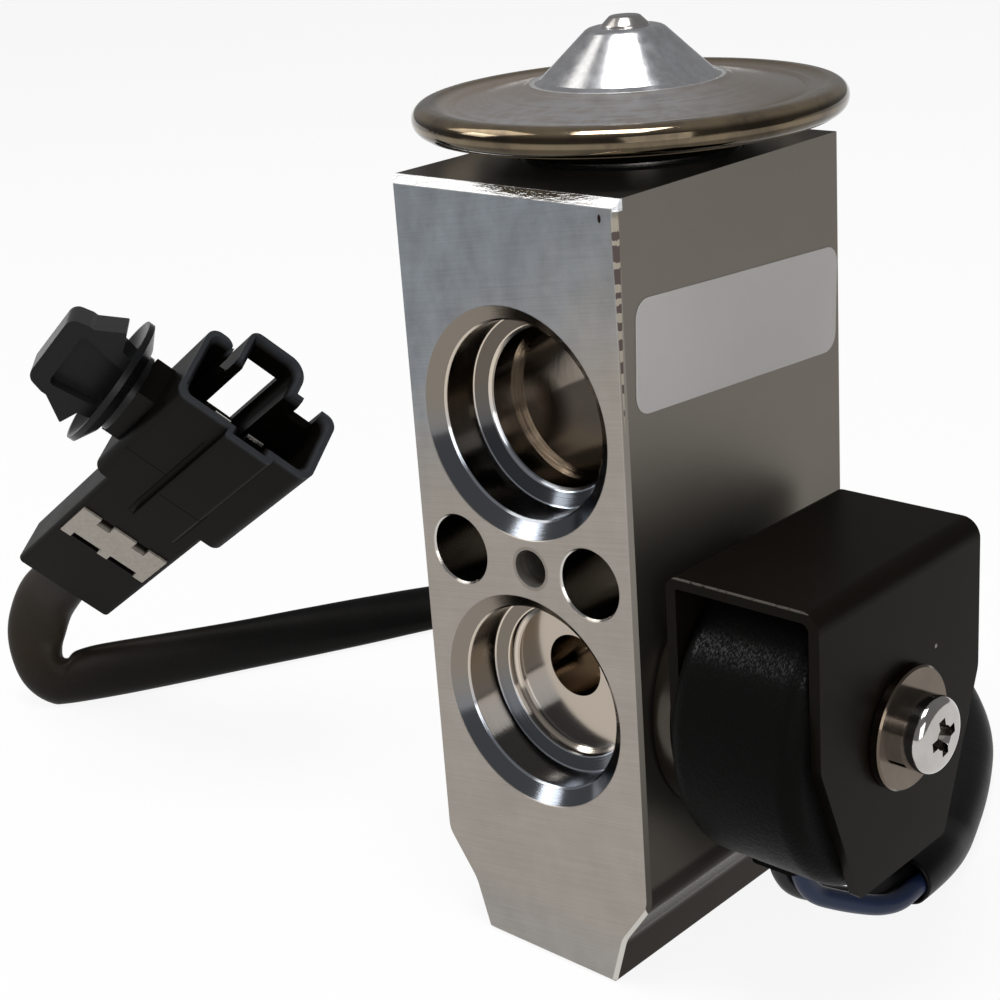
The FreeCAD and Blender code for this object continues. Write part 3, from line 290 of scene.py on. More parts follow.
def faced_metal(finish, x, z, slant, cutter, scratches, cloud):
    """Front and back: level lines of the cutter and scratches, cooler and blotched up to the left."""
    blotch = finish.noise((330, 330, 210), 4.0, 0.65, slant)
    cool = (z * COOL_UP - x * COOL_LEFT + 0.9 * cloud).rise(2.75, 3.95).most(0.25 * z.rise(0.009, 0.003))
    level = (0.66 + 0.26 * cutter + 0.24 * cloud + (scratches - 0.5) * (0.10 + 0.50 * cool)
             + blotch * (0.16 + 0.20 * cool) + (blotch - 0.5) * 0.45 * cool)
    return finish.shade(finish.mix(cool, FACE_WARM, FACE_COOL), level)


def drawn_metal(finish, y, z, grain, cloud):
    """Flanks: plain and grained, with painted shade that darkens them towards the foot and behind the
    solenoid.
    """
    shade_and_dullness = (0.32 + 0.68 * z.rise(0.008, 0.058)) * (1 - 0.74 * y.rise(-0.014, 0.008) * z.rise(0.040, 0.022))
    return finish.shade(FLANK, shade_and_dullness * (0.90 + 0.12 * grain + 0.16 * (cloud - 0.5)))


def nicked_corner(finish, colour, x, y, z):
    """The worn corner: a pale strip with dark nicks across it, laid over a colour."""
    ragged = z + NICK_RAGGED * (finish.noise(3000, 2.0) - 0.5)
    nicked = finish.steps((ragged - NICKS_LOW) / NICKS_SPAN, nick_stops())
    reach = STRIP_FOOT + STRIP_FLARE * (z - NICKS_LOW)
    corner = (BLOCK_HALF_WIDTH - x).most(y + BLOCK_HALF_DEPTH)
    strip = (corner / reach).rise(1.12, 0.98)
    strip = strip * z.rise(STRIP_LOW, STRIP_LOW + 0.0025) * z.rise(STRIP_HIGH, STRIP_HIGH - 0.0006)
    colour = finish.mix(strip * 0.75, colour, STRIP_PALE)
    return finish.mix(strip * nicked, colour, NICK_DARK)


def aluminium():
    """Bare aluminium. A mask is 1 on each kind of surface: face for the front and back, flank for
    the sides, milled for the top edge, which is painted bright as a highlight, stud for the tapped
    hole, under for the slopes of the foot, which are painted dark as shade, and outer for all that
    isn't a port or a hole."""
    finish = Finish("block_aluminium", Metallic=1.0, Specular_Tint=ALUMINIUM_EDGE)
    x, y, z = finish.axes()
    side = abs(x)
    front = abs(y)
    slant = finish.point(x, y, z - TOOL_SLANT * x)
    flank = side.rise(BLOCK_HALF_WIDTH - SKIN, BLOCK_HALF_WIDTH - SKIN / 3)
    face = front.rise(BLOCK_HALF_DEPTH - SKIN, BLOCK_HALF_DEPTH - SKIN / 3)
    ends = z.rise(BLOCK_HEIGHT - SKIN, BLOCK_HEIGHT - SKIN / 3) + z.rise(0.0003, 0.0001)
    edge = side.rise(BLOCK_HALF_WIDTH - EDGE, BLOCK_HALF_WIDTH - 0.8 * EDGE)
    milled = z.rise(BLOCK_HEIGHT - TOP_EDGE, BLOCK_HEIGHT - 0.9 * TOP_EDGE) * front.rise(
        BLOCK_HALF_DEPTH - TOP_EDGE, BLOCK_HALF_DEPTH - 0.9 * TOP_EDGE) * (1 - face) * y.rise(0.001, -0.001)
    outer = flank.most(face).most(ends).most(edge)
    stud = ((x - STUD[0]) ** 2.0 + (z - STUD[1]) ** 2.0) ** 0.5
    stud = stud.rise(STUD_RADIUS * 1.05, STUD_RADIUS) * y.rise(0.0, -0.001)
    under = z.rise(FOOT_TOP, FOOT_TOP - 0.001)
    under = under * front.rise(BLOCK_HALF_DEPTH - 0.0005, BLOCK_HALF_DEPTH - 0.0006)
    spot = ((x - SPOT[0]) / SPOT_HALF[0]) ** 2.0 + ((z - SPOT[1]) / SPOT_HALF[1]) ** 2.0
    spot = spot.rise(1.3, 0.7) * face

    cutter = finish.noise((70, 70, 5200), 3.0, 0.6, slant)
    scratches = finish.noise((150, 150, 21000), 4.0, 0.75, slant)
    marks = finish.noise((5000, 200, 160), 3.0, 0.6)
    grain = finish.noise(7000, 2.0, 0.6)
    cloud = finish.noise(110, 3.0, 0.6)
    mottle = finish.noise((700, 700, 2600), 3.0, 0.7, finish.point(x - 1.2 * z, y, z)).rise(0.30, 0.66)
    turned = finish.noise((0.1, 15000, 0.1), 2.0)

    outside = finish.mix(face, drawn_metal(finish, y, z, grain, cloud),
                         faced_metal(finish, x, z, slant, cutter, scratches, cloud))
    thread = finish.shade(THREAD, 0.55 + 0.9 * finish.noise((300, 2600, 300), 2.0))
    inside = finish.mix(stud, port_wall(finish, x, z, BLOCK_HALF_DEPTH - front), thread)
    # The foot's slopes are painted nearly black as shade.
    colour = finish.mix(under, finish.mix(outer, inside, outside), FOOT_SHADE)
    # Painted highlight along the front top edge, from the light above.
    colour = finish.mix(milled, colour, finish.shade(MILLED_EDGE_HIGHLIGHT, 0.74 + 0.30 * mottle))
    colour = nicked_corner(finish, colour, x, y, z)
    rough = 0.12 + 0.24 * outer + 0.10 * flank * (1 - face) - 0.10 * milled + 0.35 * stud
    finish.feed(Base_Color=finish.mix(spot, colour, SPOT_DARK),
                Roughness=rough + 0.10 * (scratches - 0.5) + 0.06 * (cloud - 0.5))
    lines = face * (0.5 * cutter + 0.3 * scratches + 0.2 * marks) + 0.6 * flank * grain * (1 - face)
    finish.bump(lines + (1 - outer) * 0.6 * turned + milled * mottle, TOOL_RELIEF)
    return finish


dress(aluminium(), "valve_block")

# Metering valve inside the block
# A brass adjusting screw with its o-ring, a spring, a cup, a steel ball, a pin and the turned rod
# that crosses the suction passage and shows in the port; the seal and its washer sit above.
STEEL = (0.42, 0.40, 0.38)
BRASS = (0.66, 0.49, 0.24)
ROD = (0.42, 0.39, 0.36)
RUBBER = (0.018, 0.018, 0.018)
TURNING_RELIEF = 0.000006
GRAIN_RELIEF = 0.00001
WELD = 0.000001
VALVE_Y = 0.0025


def turned_metal(name, colour, roughness, cloud_scale=420):
    """Bright metal with cloudy stains and the fine grooves of turning."""
    finish = Finish(name, Metallic=1.0)
    cloud = finish.noise(cloud_scale, 3.0)
    finish.feed(Base_Color=finish.shade(colour, 0.82 + 0.36 * cloud),
                Roughness=roughness + 0.12 * (cloud - 0.5))
    finish.bump(finish.noise(5200, 2.0), TURNING_RELIEF)
    return finish


def black_rubber():
    """Dull rubber with a fine grain."""
    finish = Finish("black_rubber", Specular_IOR_Level=0.3)
    grain = finish.noise(6000, 3.0)
    finish.feed(Base_Color=finish.shade(RUBBER, 0.8 + 0.4 * grain), Roughness=0.46 + 0.16 * (grain - 0.5))
    finish.bump(grain, GRAIN_RELIEF)
    return finish


def wound_spring(node):
    """The spring's own mesh, welded together and shaded smooth, as a piece of its own on the valve's body in
    place of the node."""
    shape = bmesh.new()
    shape.from_mesh(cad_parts[node].data)
    bmesh.ops.remove_doubles(shape, verts=shape.verts, dist=WELD)
    mesh = bpy.data.meshes.new(node + "_wound")
    shape.to_mesh(mesh)
    shape.free()
    mesh.polygons.foreach_set("use_smooth", np.ones(len(mesh.polygons), dtype=bool))
    mesh.materials.clear()
    mesh.materials.append(steel.material)
    piece = bpy.data.objects.new(mesh.name, mesh)
    bpy.context.scene.collection.objects.link(piece)
    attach(piece, "valve")
    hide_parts(node)
    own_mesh(piece)


rubber = black_rubber()
steel = turned_metal("turned_steel", STEEL, 0.26)
wound_spring("superheat_spring")
dress(turned_metal("turned_brass", BRASS, 0.26), "setting_screw", "spring_cup", "pressure_pad")
dress(steel, "valve_ball", "push_pin", "rod_seal_retainer")
dress(turned_metal("turned_rod", ROD, 0.22), "sensing_rod")
dress(rubber, "setting_ring", "rod_seal")

# Power head
# Two pressed steel covers rolled together at the rim over a thin diaphragm, on a threaded
# sleeve. The upper one is brushed in circles, its dome polished and the rim yellow-passivated.
DOME_FOOT = 0.0098
BEAD_END = 0.0104
PLATE_END = 0.0196
RIM_START = 0.0206
UNDER_RIM = 0.0903
RIM_REFLECTION_BAND = 0.0925
RIM_HIGHLIGHT = 0.0932
DOME_CHROME = (0.68, 0.685, 0.705)
BEAD_HIGHLIGHT = (0.92, 0.92, 0.92)
PLATE_BROWN = (0.640, 0.540, 0.442)
PLATE_REFLECTION = (0.95, 0.94, 0.95)
REFLECTION_WAY = (0.64, -0.77)
RIM_GOLD = (0.420, 0.330, 0.215)
RIM_DARK = (0.240, 0.190, 0.135)
RIM_BLUE = (0.34, 0.37, 0.42)
UNDERSIDE_SHADE = (0.070, 0.062, 0.054)


def polar(x, y):
    """Distance from a vertical axis and the turn round it, in half turns."""
    return (x * x + y * y) ** 0.5, y.maths("ARCTAN2", y, x) / math.pi


def rim_colour(finish, x, y, z, cloud, shade_and_dullness):
    """Yellow passivation with dark stains, bluish to one side; painted shade low on the rim, a
    painted highlight along its top and a band of painted reflection a little below that."""
    gold = finish.mix((0.8 * cloud + 0.3 * shade_and_dullness).rise(0.45, 0.75), RIM_GOLD, RIM_DARK)
    # Painted shade below the rim's top, a painted highlight along the top and a painted reflection band.
    gold = finish.shade(gold, 0.20 + 0.80 * z.rise(RIM_HIGHLIGHT, RIM_HIGHLIGHT + 0.0006)
                        + 0.24 * z.band(RIM_REFLECTION_BAND, 0.00015, 0.0002))
    return finish.mix((x * -60 + y * -30 + cloud).rise(1.75, 2.3), gold, RIM_BLUE)


def dome_reflection_patch(x, y, brushed, shade_and_dullness):
    """A painted reflection of the dome's highlights on the plate, ahead of the dome, broken up by the
    brushing.
    """
    ahead = REFLECTION_WAY[0] * x + REFLECTION_WAY[1] * y
    beside = -REFLECTION_WAY[1] * x + REFLECTION_WAY[0] * y
    painted_light_and_wear = 0.35 + 0.65 * (0.5 * brushed + 0.5 * shade_and_dullness).rise(0.36, 0.58)
    return 0.85 * ahead.rise(-0.002, 0.013) * beside.rise(0.016, 0.003) * painted_light_and_wear


def pressed_cover():
    """A mask is 1 on each ring of the cover: dome, the bead round its foot, and rim; the plate is
    what lies between, and low is the underside, which is painted dark as shade."""
    finish = Finish("pressed_cover", Metallic=1.0)
    x, y, z = finish.axes()
    radius, turn = polar(x, y - VALVE_Y)
    dome = radius.rise(DOME_FOOT, DOME_FOOT - 0.0002)
    bead = radius.rise(DOME_FOOT - 0.0002, DOME_FOOT) * radius.rise(BEAD_END, BEAD_END - 0.0003)
    rim = radius.rise(PLATE_END, RIM_START)
    low = z.rise(UNDER_RIM + 0.0003, UNDER_RIM - 0.0003)
    brushed = finish.noise((5200, 2.2, 60), 4.0, 0.7, finish.point(radius, turn, z))
    cloud = finish.noise(150, 4.0, 0.65)
    shade_and_dullness = finish.noise(520, 3.0, 0.6)
    pitted = finish.noise(1500, 4.0, 0.7)

    # Painted shade across the plate: lighter to the left and front, darker to the right and back.
    plate = finish.shade(PLATE_BROWN, (0.74 + 0.30 * brushed + 0.28 * cloud) * (1 - x * 9 - y * 7))
    # Painted reflection of the dome on the plate in front of it.
    plate = finish.mix(dome_reflection_patch(x, y - VALVE_Y, brushed, shade_and_dullness), plate, PLATE_REFLECTION)
    colour = finish.mix(rim, plate, rim_colour(finish, x, y, z, cloud, shade_and_dullness))
    # The bead round the dome's foot is painted near white: a painted highlight on its fillet.
    colour = finish.mix(bead, colour, BEAD_HIGHLIGHT)
    colour = finish.mix(dome, colour, finish.shade(DOME_CHROME, 0.62 + 0.46 * shade_and_dullness + 0.30 * pitted))
    # Painted shade under the rim.
    finish.feed(Base_Color=finish.mix(low, colour, UNDERSIDE_SHADE),
                Roughness=0.20 + 0.10 * (brushed - 0.5) + 0.02 * dome + 0.16 * bead - 0.10 * rim + 0.14 * low
                + 0.07 * (shade_and_dullness - 0.5) + 0.20 * dome * (shade_and_dullness - 0.5))
    finish.bump(brushed * (1 - dome) * (1 - rim) + dome * (2.2 * shade_and_dullness + 0.8 * pitted) + 0.4 * rim * brushed,
                TURNING_RELIEF)
    return finish


dress(pressed_cover(), "head_upper_cover", "head_lower_cover")
dress(steel, "head_sleeve", "diaphragm")
dress(rubber, "head_ring")

# Label
# A bare sheet of pale film with rounded corners, stuck a little askew on the block's right
# flank. It is a tenth of a millimetre thick, with its edge rounded over.
LABEL_GREY = (0.400, 0.382, 0.372)
LABEL_LENGTH = 0.0345
LABEL_WIDTH = 0.0116
LABEL_CORNER = 0.0020
LABEL_LIFT = 0.00010
LABEL_RELIEF = 0.000004
# y and z of its middle.
LABEL_CENTRE = (0.0008, 0.07105)
LABEL_TILT = math.radians(-3.3)
CORNER_STEPS = 8
# Inset and share of the thickness of each row, from the block's flank out to the face.
LABEL_ROWS = ((0.0, 0.0), (0.0, 0.7), (0.00005, 0.95), (0.00015, 1.0))


def skin(name, rows, body, finish, smooth=True):
    """Closed surface through rows of points: each row is a loop, and the first and last row are
    each drawn together to their middle."""
    rows = np.asarray(rows, dtype=float)
    count, around, _ = rows.shape
    points = np.vstack([rows.reshape(-1, 3), rows[0].mean(0), rows[-1].mean(0)])
    step, turn = np.meshgrid(np.arange(count - 1), np.arange(around), indexing="ij")
    after = (turn + 1) % around
    walls = np.stack([step * around + turn, step * around + after, (step + 1) * around + after,
                      (step + 1) * around + turn], axis=-1).reshape(-1, 4)
    loop = np.arange(around)
    following = (loop + 1) % around
    last = (count - 1) * around
    first_end = np.stack([np.full(around, count * around), following, loop], axis=-1)
    last_end = np.stack([np.full(around, count * around + 1), last + loop, last + following], axis=-1)
    mesh = bpy.data.meshes.new(name)
    mesh.from_pydata(points.tolist(), [], walls.tolist() + first_end.tolist() + last_end.tolist())
    mesh.polygons.foreach_set("use_smooth", np.full(len(mesh.polygons), smooth))
    mesh.materials.append(finish.material)
    piece = bpy.data.objects.new(name, mesh)
    bpy.context.scene.collection.objects.link(piece)
    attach(piece, body)
    return piece


def label_outline(inset):
    """Rounded rectangle: a corner's arc is its middle plus the radius times (cos, sin), turned on
    by a quarter for each of the four corners; an inset moves the whole line inwards."""
    angle = np.radians(np.linspace(0, 90, CORNER_STEPS))
    quarter = np.arange(4)[:, None]
    turn = angle[None, :] + quarter * math.pi / 2
    sign_y = np.array([1, -1, -1, 1])[:, None]
    sign_z = np.array([1, 1, -1, -1])[:, None]
    radius = LABEL_CORNER - inset
    across = sign_y * (LABEL_LENGTH / 2 - LABEL_CORNER) + radius * np.cos(turn)
    up = sign_z * (LABEL_WIDTH / 2 - LABEL_CORNER) + radius * np.sin(turn)
    return across.ravel(), up.ravel()


def label():
    """The sheet's edge and face: each row is the outline moved inwards by an inset, at a share of
    the sheet's thickness."""
    finish = Finish("label_sheet", Specular_IOR_Level=0.3)
    cloud = finish.noise(140, 3.0)
    fibre = finish.noise(3800, 2.0)
    finish.feed(Base_Color=finish.shade(LABEL_GREY, 0.95 + 0.06 * cloud + 0.04 * fibre),
                Roughness=0.46 + 0.10 * (cloud - 0.5))
    finish.bump(fibre, LABEL_RELIEF)
    rows = []
    for inset, lift in LABEL_ROWS:
        across, up = label_outline(inset)
        turned_y = LABEL_CENTRE[0] + across * math.cos(LABEL_TILT) - up * math.sin(LABEL_TILT)
        turned_z = LABEL_CENTRE[1] + across * math.sin(LABEL_TILT) + up * math.cos(LABEL_TILT)
        height = np.full_like(across, BLOCK_HALF_WIDTH + lift * LABEL_LIFT)
        rows.append(np.stack([height, turned_y, turned_z], axis=-1))
    piece = skin("label", rows, "valve", finish, smooth=False)


label()

# Charging plug
# A small steel stopper welded into the charging hole on the dome. It is turned, with a
# shoulder that draws in to a flat tip.
CAP_SEAT = 0.1007
CAP_AROUND = 48
CAP_STEEL = (0.52, 0.50, 0.48)
# Radius and height above the dome of each ring, in millimetres.
CAP_PROFILE = ((2.50, -0.10), (2.50, 0.10), (2.38, 0.26), (2.02, 0.62), (1.72, 0.92), (1.58, 1.03),
               (1.40, 1.08))


def charge_plug_cap():
    """Turned shape: a ring of radius r at height h is (r cos(a), r sin(a), h) round the valve's axis."""
    radius, height = np.array(CAP_PROFILE).T[:, :, None] / 1000
    angle = np.linspace(0, 2 * math.pi, CAP_AROUND, endpoint=False)[None, :]
    rows = np.stack(np.broadcast_arrays(radius * np.cos(angle), VALVE_Y + radius * np.sin(angle),
                                        CAP_SEAT + height), axis=-1)
    cap = skin("charge_plug_cap", rows, "valve", turned_metal("charge_plug_steel", CAP_STEEL, 0.20))
    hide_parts("charge_plug")


charge_plug_cap()

# Solenoid inside the coil
# Turned steel base with a round flange, a thin drawn tube with the fixed core and the plunger,
# and the copper winding on its former.
COPPER = (0.55, 0.27, 0.13)
FLANGE = (0.060, 0.052, 0.043)
BOBBIN_BLACK = (0.012, 0.012, 0.012)


def moulded(name, colour, roughness, grain_scale=3600, relief=0.000012, gloss=0.2):
    """Moulded plastic: a faint grain in the colour, the gloss and the relief."""
    finish = Finish(name, Specular_IOR_Level=gloss)
    grain = finish.noise(grain_scale, 3.0, 0.6)
    cloud = finish.noise(160, 3.0)
    finish.feed(Base_Color=finish.shade(colour, 0.70 + 0.30 * grain + 0.30 * cloud),
                Roughness=roughness + 0.14 * (grain - 0.5) + 0.08 * (cloud - 0.5))
    finish.bump(grain, relief)
    return finish


dress(turned_metal("flange_steel", FLANGE, 0.24), "solenoid_base")
dress(steel, "solenoid_tube", "solenoid_core", "plunger")
wound_spring("plunger_spring")
dress(turned_metal("winding_copper", COPPER, 0.4, cloud_scale=2600), "coil_winding")
dress(rubber, "solenoid_ring", "plunger_seal")
dress(moulded("bobbin_black", BOBBIN_BLACK, 0.5), "coil_bobbin")

# Coil case
# Black case moulded round the winding, with a boss underneath that the wires come out of. It is
# coarse and a little shiny, so that its highlight breaks up into specks.
CASE_BLACK = (0.0036, 0.0034, 0.0032)
SPECK_HEIGHT = 0.0434
CASE_RELIEF = 0.00003


def case_plastic():
    """Dull black; a thin coat shows in specks along the turn at the top of the front."""
    finish = Finish("case_plastic", Specular_IOR_Level=0.02, Coat_Roughness=0.26)
    _, y, z = finish.axes()
    speck = finish.noise(2100, 3.0, 0.7)
    fine = finish.noise(9000, 2.0)
    scuff = finish.noise((5200, 3000, 3000), 3.0, 0.7)
    turn = z.band(SPECK_HEIGHT, 0.0002, 0.0017) * y.rise(-0.006, -0.010)
    finish.feed(Base_Color=finish.shade(CASE_BLACK, 0.6 + 0.8 * fine),
                Roughness=0.40 + 0.30 * (speck - 0.5),
                Coat_Weight=0.5 * scuff.rise(0.44, 0.68) * turn)
    finish.bump(0.75 * speck.rise(0.34, 0.66) + 0.25 * fine, CASE_RELIEF)
    return finish


dress(case_plastic(), "coil_case")

# Bracket, washers and screw
# A bent strip of sheet steel in satin black paint round the coil, held by a bright pan-head
# screw with a cross recess on a split washer and a flat washer.
PAINT = (0.0046, 0.0036, 0.0027)
PAINT_TINT = (1.0, 0.90, 0.78)
PAINT_BARE_AND_HIGHLIGHT = (0.26, 0.23, 0.20)
PAINT_RELIEF = 0.000004
BRACKET_TOP = 0.0503
BRACKET_FRONT = -0.01682
CHIP = (0.03600, 0.00407, 0.03920)
CHIP_REACH = 0.00022
WASHER = (0.130, 0.102, 0.078)
SPRING_STEEL = (0.34, 0.325, 0.31)
CHROME = (0.46, 0.44, 0.42)


def bracket_paint():
    """Satin paint with a painted highlight in a fine line along the strip's front edge, and one small chip
    worn through.
    """
    finish = Finish("bracket_paint", Specular_IOR_Level=0.042, Specular_Tint=PAINT_TINT)
    _, y, z = finish.axes()
    grain = finish.noise(2600, 3.0, 0.6)
    cloud = finish.noise(160, 3.0)
    # Painted highlight: a fine light line along the front edge of the top.
    line = y.rise(BRACKET_FRONT + 0.0001, BRACKET_FRONT)
    line = line * z.rise(BRACKET_TOP - 0.00024, BRACKET_TOP - 0.00014)
    chip = finish.vector("DISTANCE", finish.place, CHIP, "Value").rise(CHIP_REACH * 1.3, CHIP_REACH * 0.7)
    painted_light_and_wear = (line * grain.rise(0.30, 0.50) * 0.30).most(chip)
    sound = finish.shade(PAINT, 0.70 + 0.30 * grain + 0.30 * cloud)
    finish.feed(Base_Color=finish.mix(painted_light_and_wear, sound, PAINT_BARE_AND_HIGHLIGHT),
                Roughness=0.34 + 0.14 * (grain - 0.5) + 0.08 * (cloud - 0.5))
    finish.bump(grain, PAINT_RELIEF)
    return finish


dress(bracket_paint(), "coil_bracket")
dress(turned_metal("plated_washer", WASHER, 0.14), "flat_washer")
dress(turned_metal("spring_washer_steel", SPRING_STEEL, 0.10), "spring_washer")
dress(turned_metal("plated_screw", CHROME, 0.09), "coil_screw")

# Wires
# Two thin insulated wires, a dark and a blue one, side by side from the boss under the coil
# into the mouth of the sleeve, which hides their ends.
WIRE_ROUTE = ((0.0224, -0.0034, 0.0140), (0.0224, -0.0034, 0.0096), (0.0248, 0.0020, 0.0062),
              (0.0274, 0.0074, 0.0039), (0.0274, 0.0126, 0.0041), (0.0274, 0.0172, 0.0042))
WIRE_HALF_PITCH = 0.0014
WIRE_RADIUS = 0.00115
WIRE_BLUE = (0.009, 0.018, 0.052)
WIRE_DARK = (0.006, 0.006, 0.007)


def spline(name, points):
    """Curve whose control points are the points given."""
    curve = bpy.data.curves.new(name, "CURVE")
    curve.dimensions = "3D"
    curve.resolution_u = 16
    line = curve.splines.new("NURBS")
    line.points.add(len(points) - 1)
    line.points.foreach_set("co", np.column_stack([points, np.ones(len(points))]).ravel())
    line.order_u = 3
    line.use_endpoint_u = True
    return curve


def insulated_wire(name, side, colour):
    """Round wire beside the common route: half the pitch to one side of it."""
    curve = spline(name, np.array(WIRE_ROUTE) + (side * WIRE_HALF_PITCH, 0, 0))
    curve.bevel_depth = WIRE_RADIUS
    curve.bevel_resolution = 6
    curve.use_fill_caps = True
    insulation = moulded(name + "_insulation", colour, 0.38, grain_scale=2400, relief=GRAIN_RELIEF, gloss=0.3)
    curve.materials.append(insulation.material)
    piece = bpy.data.objects.new(name + "_lead", curve)
    bpy.context.scene.collection.objects.link(piece)
    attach(piece, "valve")
    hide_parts(name)
    return piece


wires = [insulated_wire("dark_wire", -1, WIRE_DARK), insulated_wire("blue_wire", 1, WIRE_BLUE)]

# Sleeve
# Black vinyl tube over both wires. It lies flat on the floor round the back of the block, turns
# onto its edge at the fold, and is pushed into the rear of the plug.
SLEEVE_ROUTE = (
    (0.0274, 0.0126, 0.0041), (0.0274, 0.0178, 0.0040), (0.0250, 0.0260, 0.0026), (0.0198, 0.0384, 0.0022),
    (0.0122, 0.0520, 0.0022), (0.0000, 0.0654, 0.0022), (-0.0158, 0.0758, 0.0022),
    (-0.0344, 0.0790, 0.0022), (-0.0520, 0.0728, 0.0022), (-0.0658, 0.0596, 0.0022),
    (-0.0752, 0.0428, 0.0024), (-0.0822, 0.0266, 0.0026), (-0.0890, 0.0126, 0.0029),
    (-0.0944, 0.0012, 0.0031), (-0.0988, -0.0072, 0.0033), (-0.1029, -0.0133, 0.0042),
    (-0.1064, -0.0126, 0.0098), (-0.1045, -0.0117, 0.0154), (-0.1002, -0.01143, 0.01977),
    (-0.0935, -0.01143, 0.02440))
SLEEVE_MOUTH = 0.00285
SLEEVE_WALL = 0.00028
SLEEVE_POCKET = 0.0060
SLEEVE_AROUND = 40
SLEEVE_BLACK = (0.0028, 0.0027, 0.0027)
SLEEVE_WARM_SHEEN = (0.019, 0.0145, 0.0105)
SLEEVE_TINT = (1.0, 0.95, 0.90)
SLEEVE_RELIEF = 0.00006
FLOOR_GAP = 0.00005
SHEEN_FROM = -0.088
SHEEN_TO = -0.104
# How far the tube is pressed flat along the floor, and how much wider again at the fold.
PRESSED_WIDER = 0.00090
PRESSED_LOWER = 0.00070
FOLD_WIDER = 0.00065
# Where each change begins and ends: the pressing from the exit on, and the others as distances
# from the far end.
PRESSED = (0.004, 0.050)
LEANING = (0.130, 0.026)
EDGEWISE = (0.046, 0.030)
SPREADING = (0.060, 0.026)
GATHERED = (0.0, 0.012)
# The fold: its axis, and where its crease lies before the far end, how long and how deep it is.
FOLD_AXIS = (-0.64, 0.77, 0.0)
CREASE_BEFORE_END = 0.0250
CREASE_REACH = 0.0042
CREASE_DEPTH = 0.34


def smooth_step(values, low, high):
    """t * t * (3 - 2 t), where t goes from 0 at low to 1 at high."""
    share = np.clip((values - low) / (high - low), 0, 1)
    return share * share * (3 - 2 * share)


def unit(vectors):
    """Each row divided by its length."""
    return vectors / np.linalg.norm(vectors, axis=1, keepdims=True)


def route_points(name, route):
    """Points along the route's own smooth line, read from its curve with no bevel."""
    ghost = bpy.data.objects.new(name, spline(name, np.array(route)))
    mesh = bpy.data.meshes.new_from_object(ghost)
    points = np.empty(len(mesh.vertices) * 3)
    mesh.vertices.foreach_get("co", points)
    bpy.data.meshes.remove(mesh)
    bpy.data.objects.remove(ghost)
    return points.reshape(-1, 3)


def sleeve_rows():
    """A ring at each point of the line is point + wide * cos(a) * W + flat * sin(a) * H, where W and
    H are square to the line and to each other, and W leans from level to upright as the tube nears
    the fold. The inner side of the fold is dented by a bell curve, and the ring is lifted so that
    it just lies on the floor. At the mouth a smaller set of rings runs back inside."""
    line = route_points("sleeve_line", SLEEVE_ROUTE)
    travel = np.concatenate([[0], np.cumsum(np.linalg.norm(np.diff(line, axis=0), axis=1))])
    left = travel[-1] - travel
    forward = unit(np.gradient(line, travel, axis=0))
    at_fold = smooth_step(left, *EDGEWISE)[:, None]
    edgewise = unit(np.cross(np.array([FOLD_AXIS]), forward))
    upright = (1 - at_fold) * np.array([[0, 0, 1.0]]) + at_fold * edgewise
    upright = unit(upright - forward * np.sum(upright * forward, axis=1, keepdims=True))
    level = np.cross(forward, upright)
    lean = np.radians(90) * smooth_step(left, *LEANING)[:, None]
    wide_way = np.cos(lean) * level + np.sin(lean) * upright
    flat_way = -np.sin(lean) * level + np.cos(lean) * upright

    pressed = smooth_step(travel, *PRESSED)
    spread = smooth_step(left, *SPREADING) * smooth_step(left, *GATHERED)
    wide = (SLEEVE_MOUTH + PRESSED_WIDER * pressed + FOLD_WIDER * spread)[:, None]
    flat = (SLEEVE_MOUTH - PRESSED_LOWER * pressed)[:, None]
    drop = np.sqrt((wide * wide_way[:, 2:]) ** 2 + (flat * flat_way[:, 2:]) ** 2)[:, 0]
    centre = line.copy()
    centre[:, 2] = np.maximum(centre[:, 2], drop + FLOOR_GAP)

    angle = np.linspace(0, 2 * math.pi, SLEEVE_AROUND, endpoint=False)[None, :, None]
    shape = (wide * wide_way)[:, None, :] * np.cos(angle) + (flat * flat_way)[:, None, :] * np.sin(angle)
    crease = np.exp(-((left - CREASE_BEFORE_END) / CREASE_REACH) ** 2)[:, None]
    inner = np.clip(np.cos(angle[..., 0]), 0, 1) ** 2
    shape *= 1 - CREASE_DEPTH * (crease * inner)[:, :, None]
    rings = centre[:, None, :] + shape
    mouth = travel <= SLEEVE_POCKET
    lining = centre[mouth][:, None, :] + shape[mouth] * (1 - SLEEVE_WALL / SLEEVE_MOUTH)
    return np.concatenate([lining[::-1], rings]), centre


def vinyl():
    """Soft black and wavy, with a painted warm sheen over the fold that is stronger up its upright part."""
    finish = Finish("sleeve_vinyl", Specular_IOR_Level=0.10, Specular_Tint=SLEEVE_TINT)
    cloud = finish.noise(90, 3.0)
    fine = finish.noise(1500, 3.0)
    x, _, z = finish.axes()
    # Painted warm sheen over the fold, stronger higher up.
    sheen = x.rise(SHEEN_FROM, SHEEN_TO) * (0.35 + 0.65 * z.rise(0.002, 0.010))
    colour = finish.mix(sheen, SLEEVE_BLACK, SLEEVE_WARM_SHEEN)
    finish.feed(Base_Color=finish.shade(colour, 0.6 + 0.5 * cloud + 0.3 * fine),
                Roughness=0.40 + 0.16 * (cloud - 0.5) + 0.06 * (fine - 0.5))
    finish.bump(0.7 * finish.noise(210, 2.0) + 0.3 * fine, SLEEVE_RELIEF)
    return finish


sleeve_points, sleeve_line = sleeve_rows()
sleeve = skin("sleeve", sleeve_points, "valve", vinyl())
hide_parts("lead_sleeve")

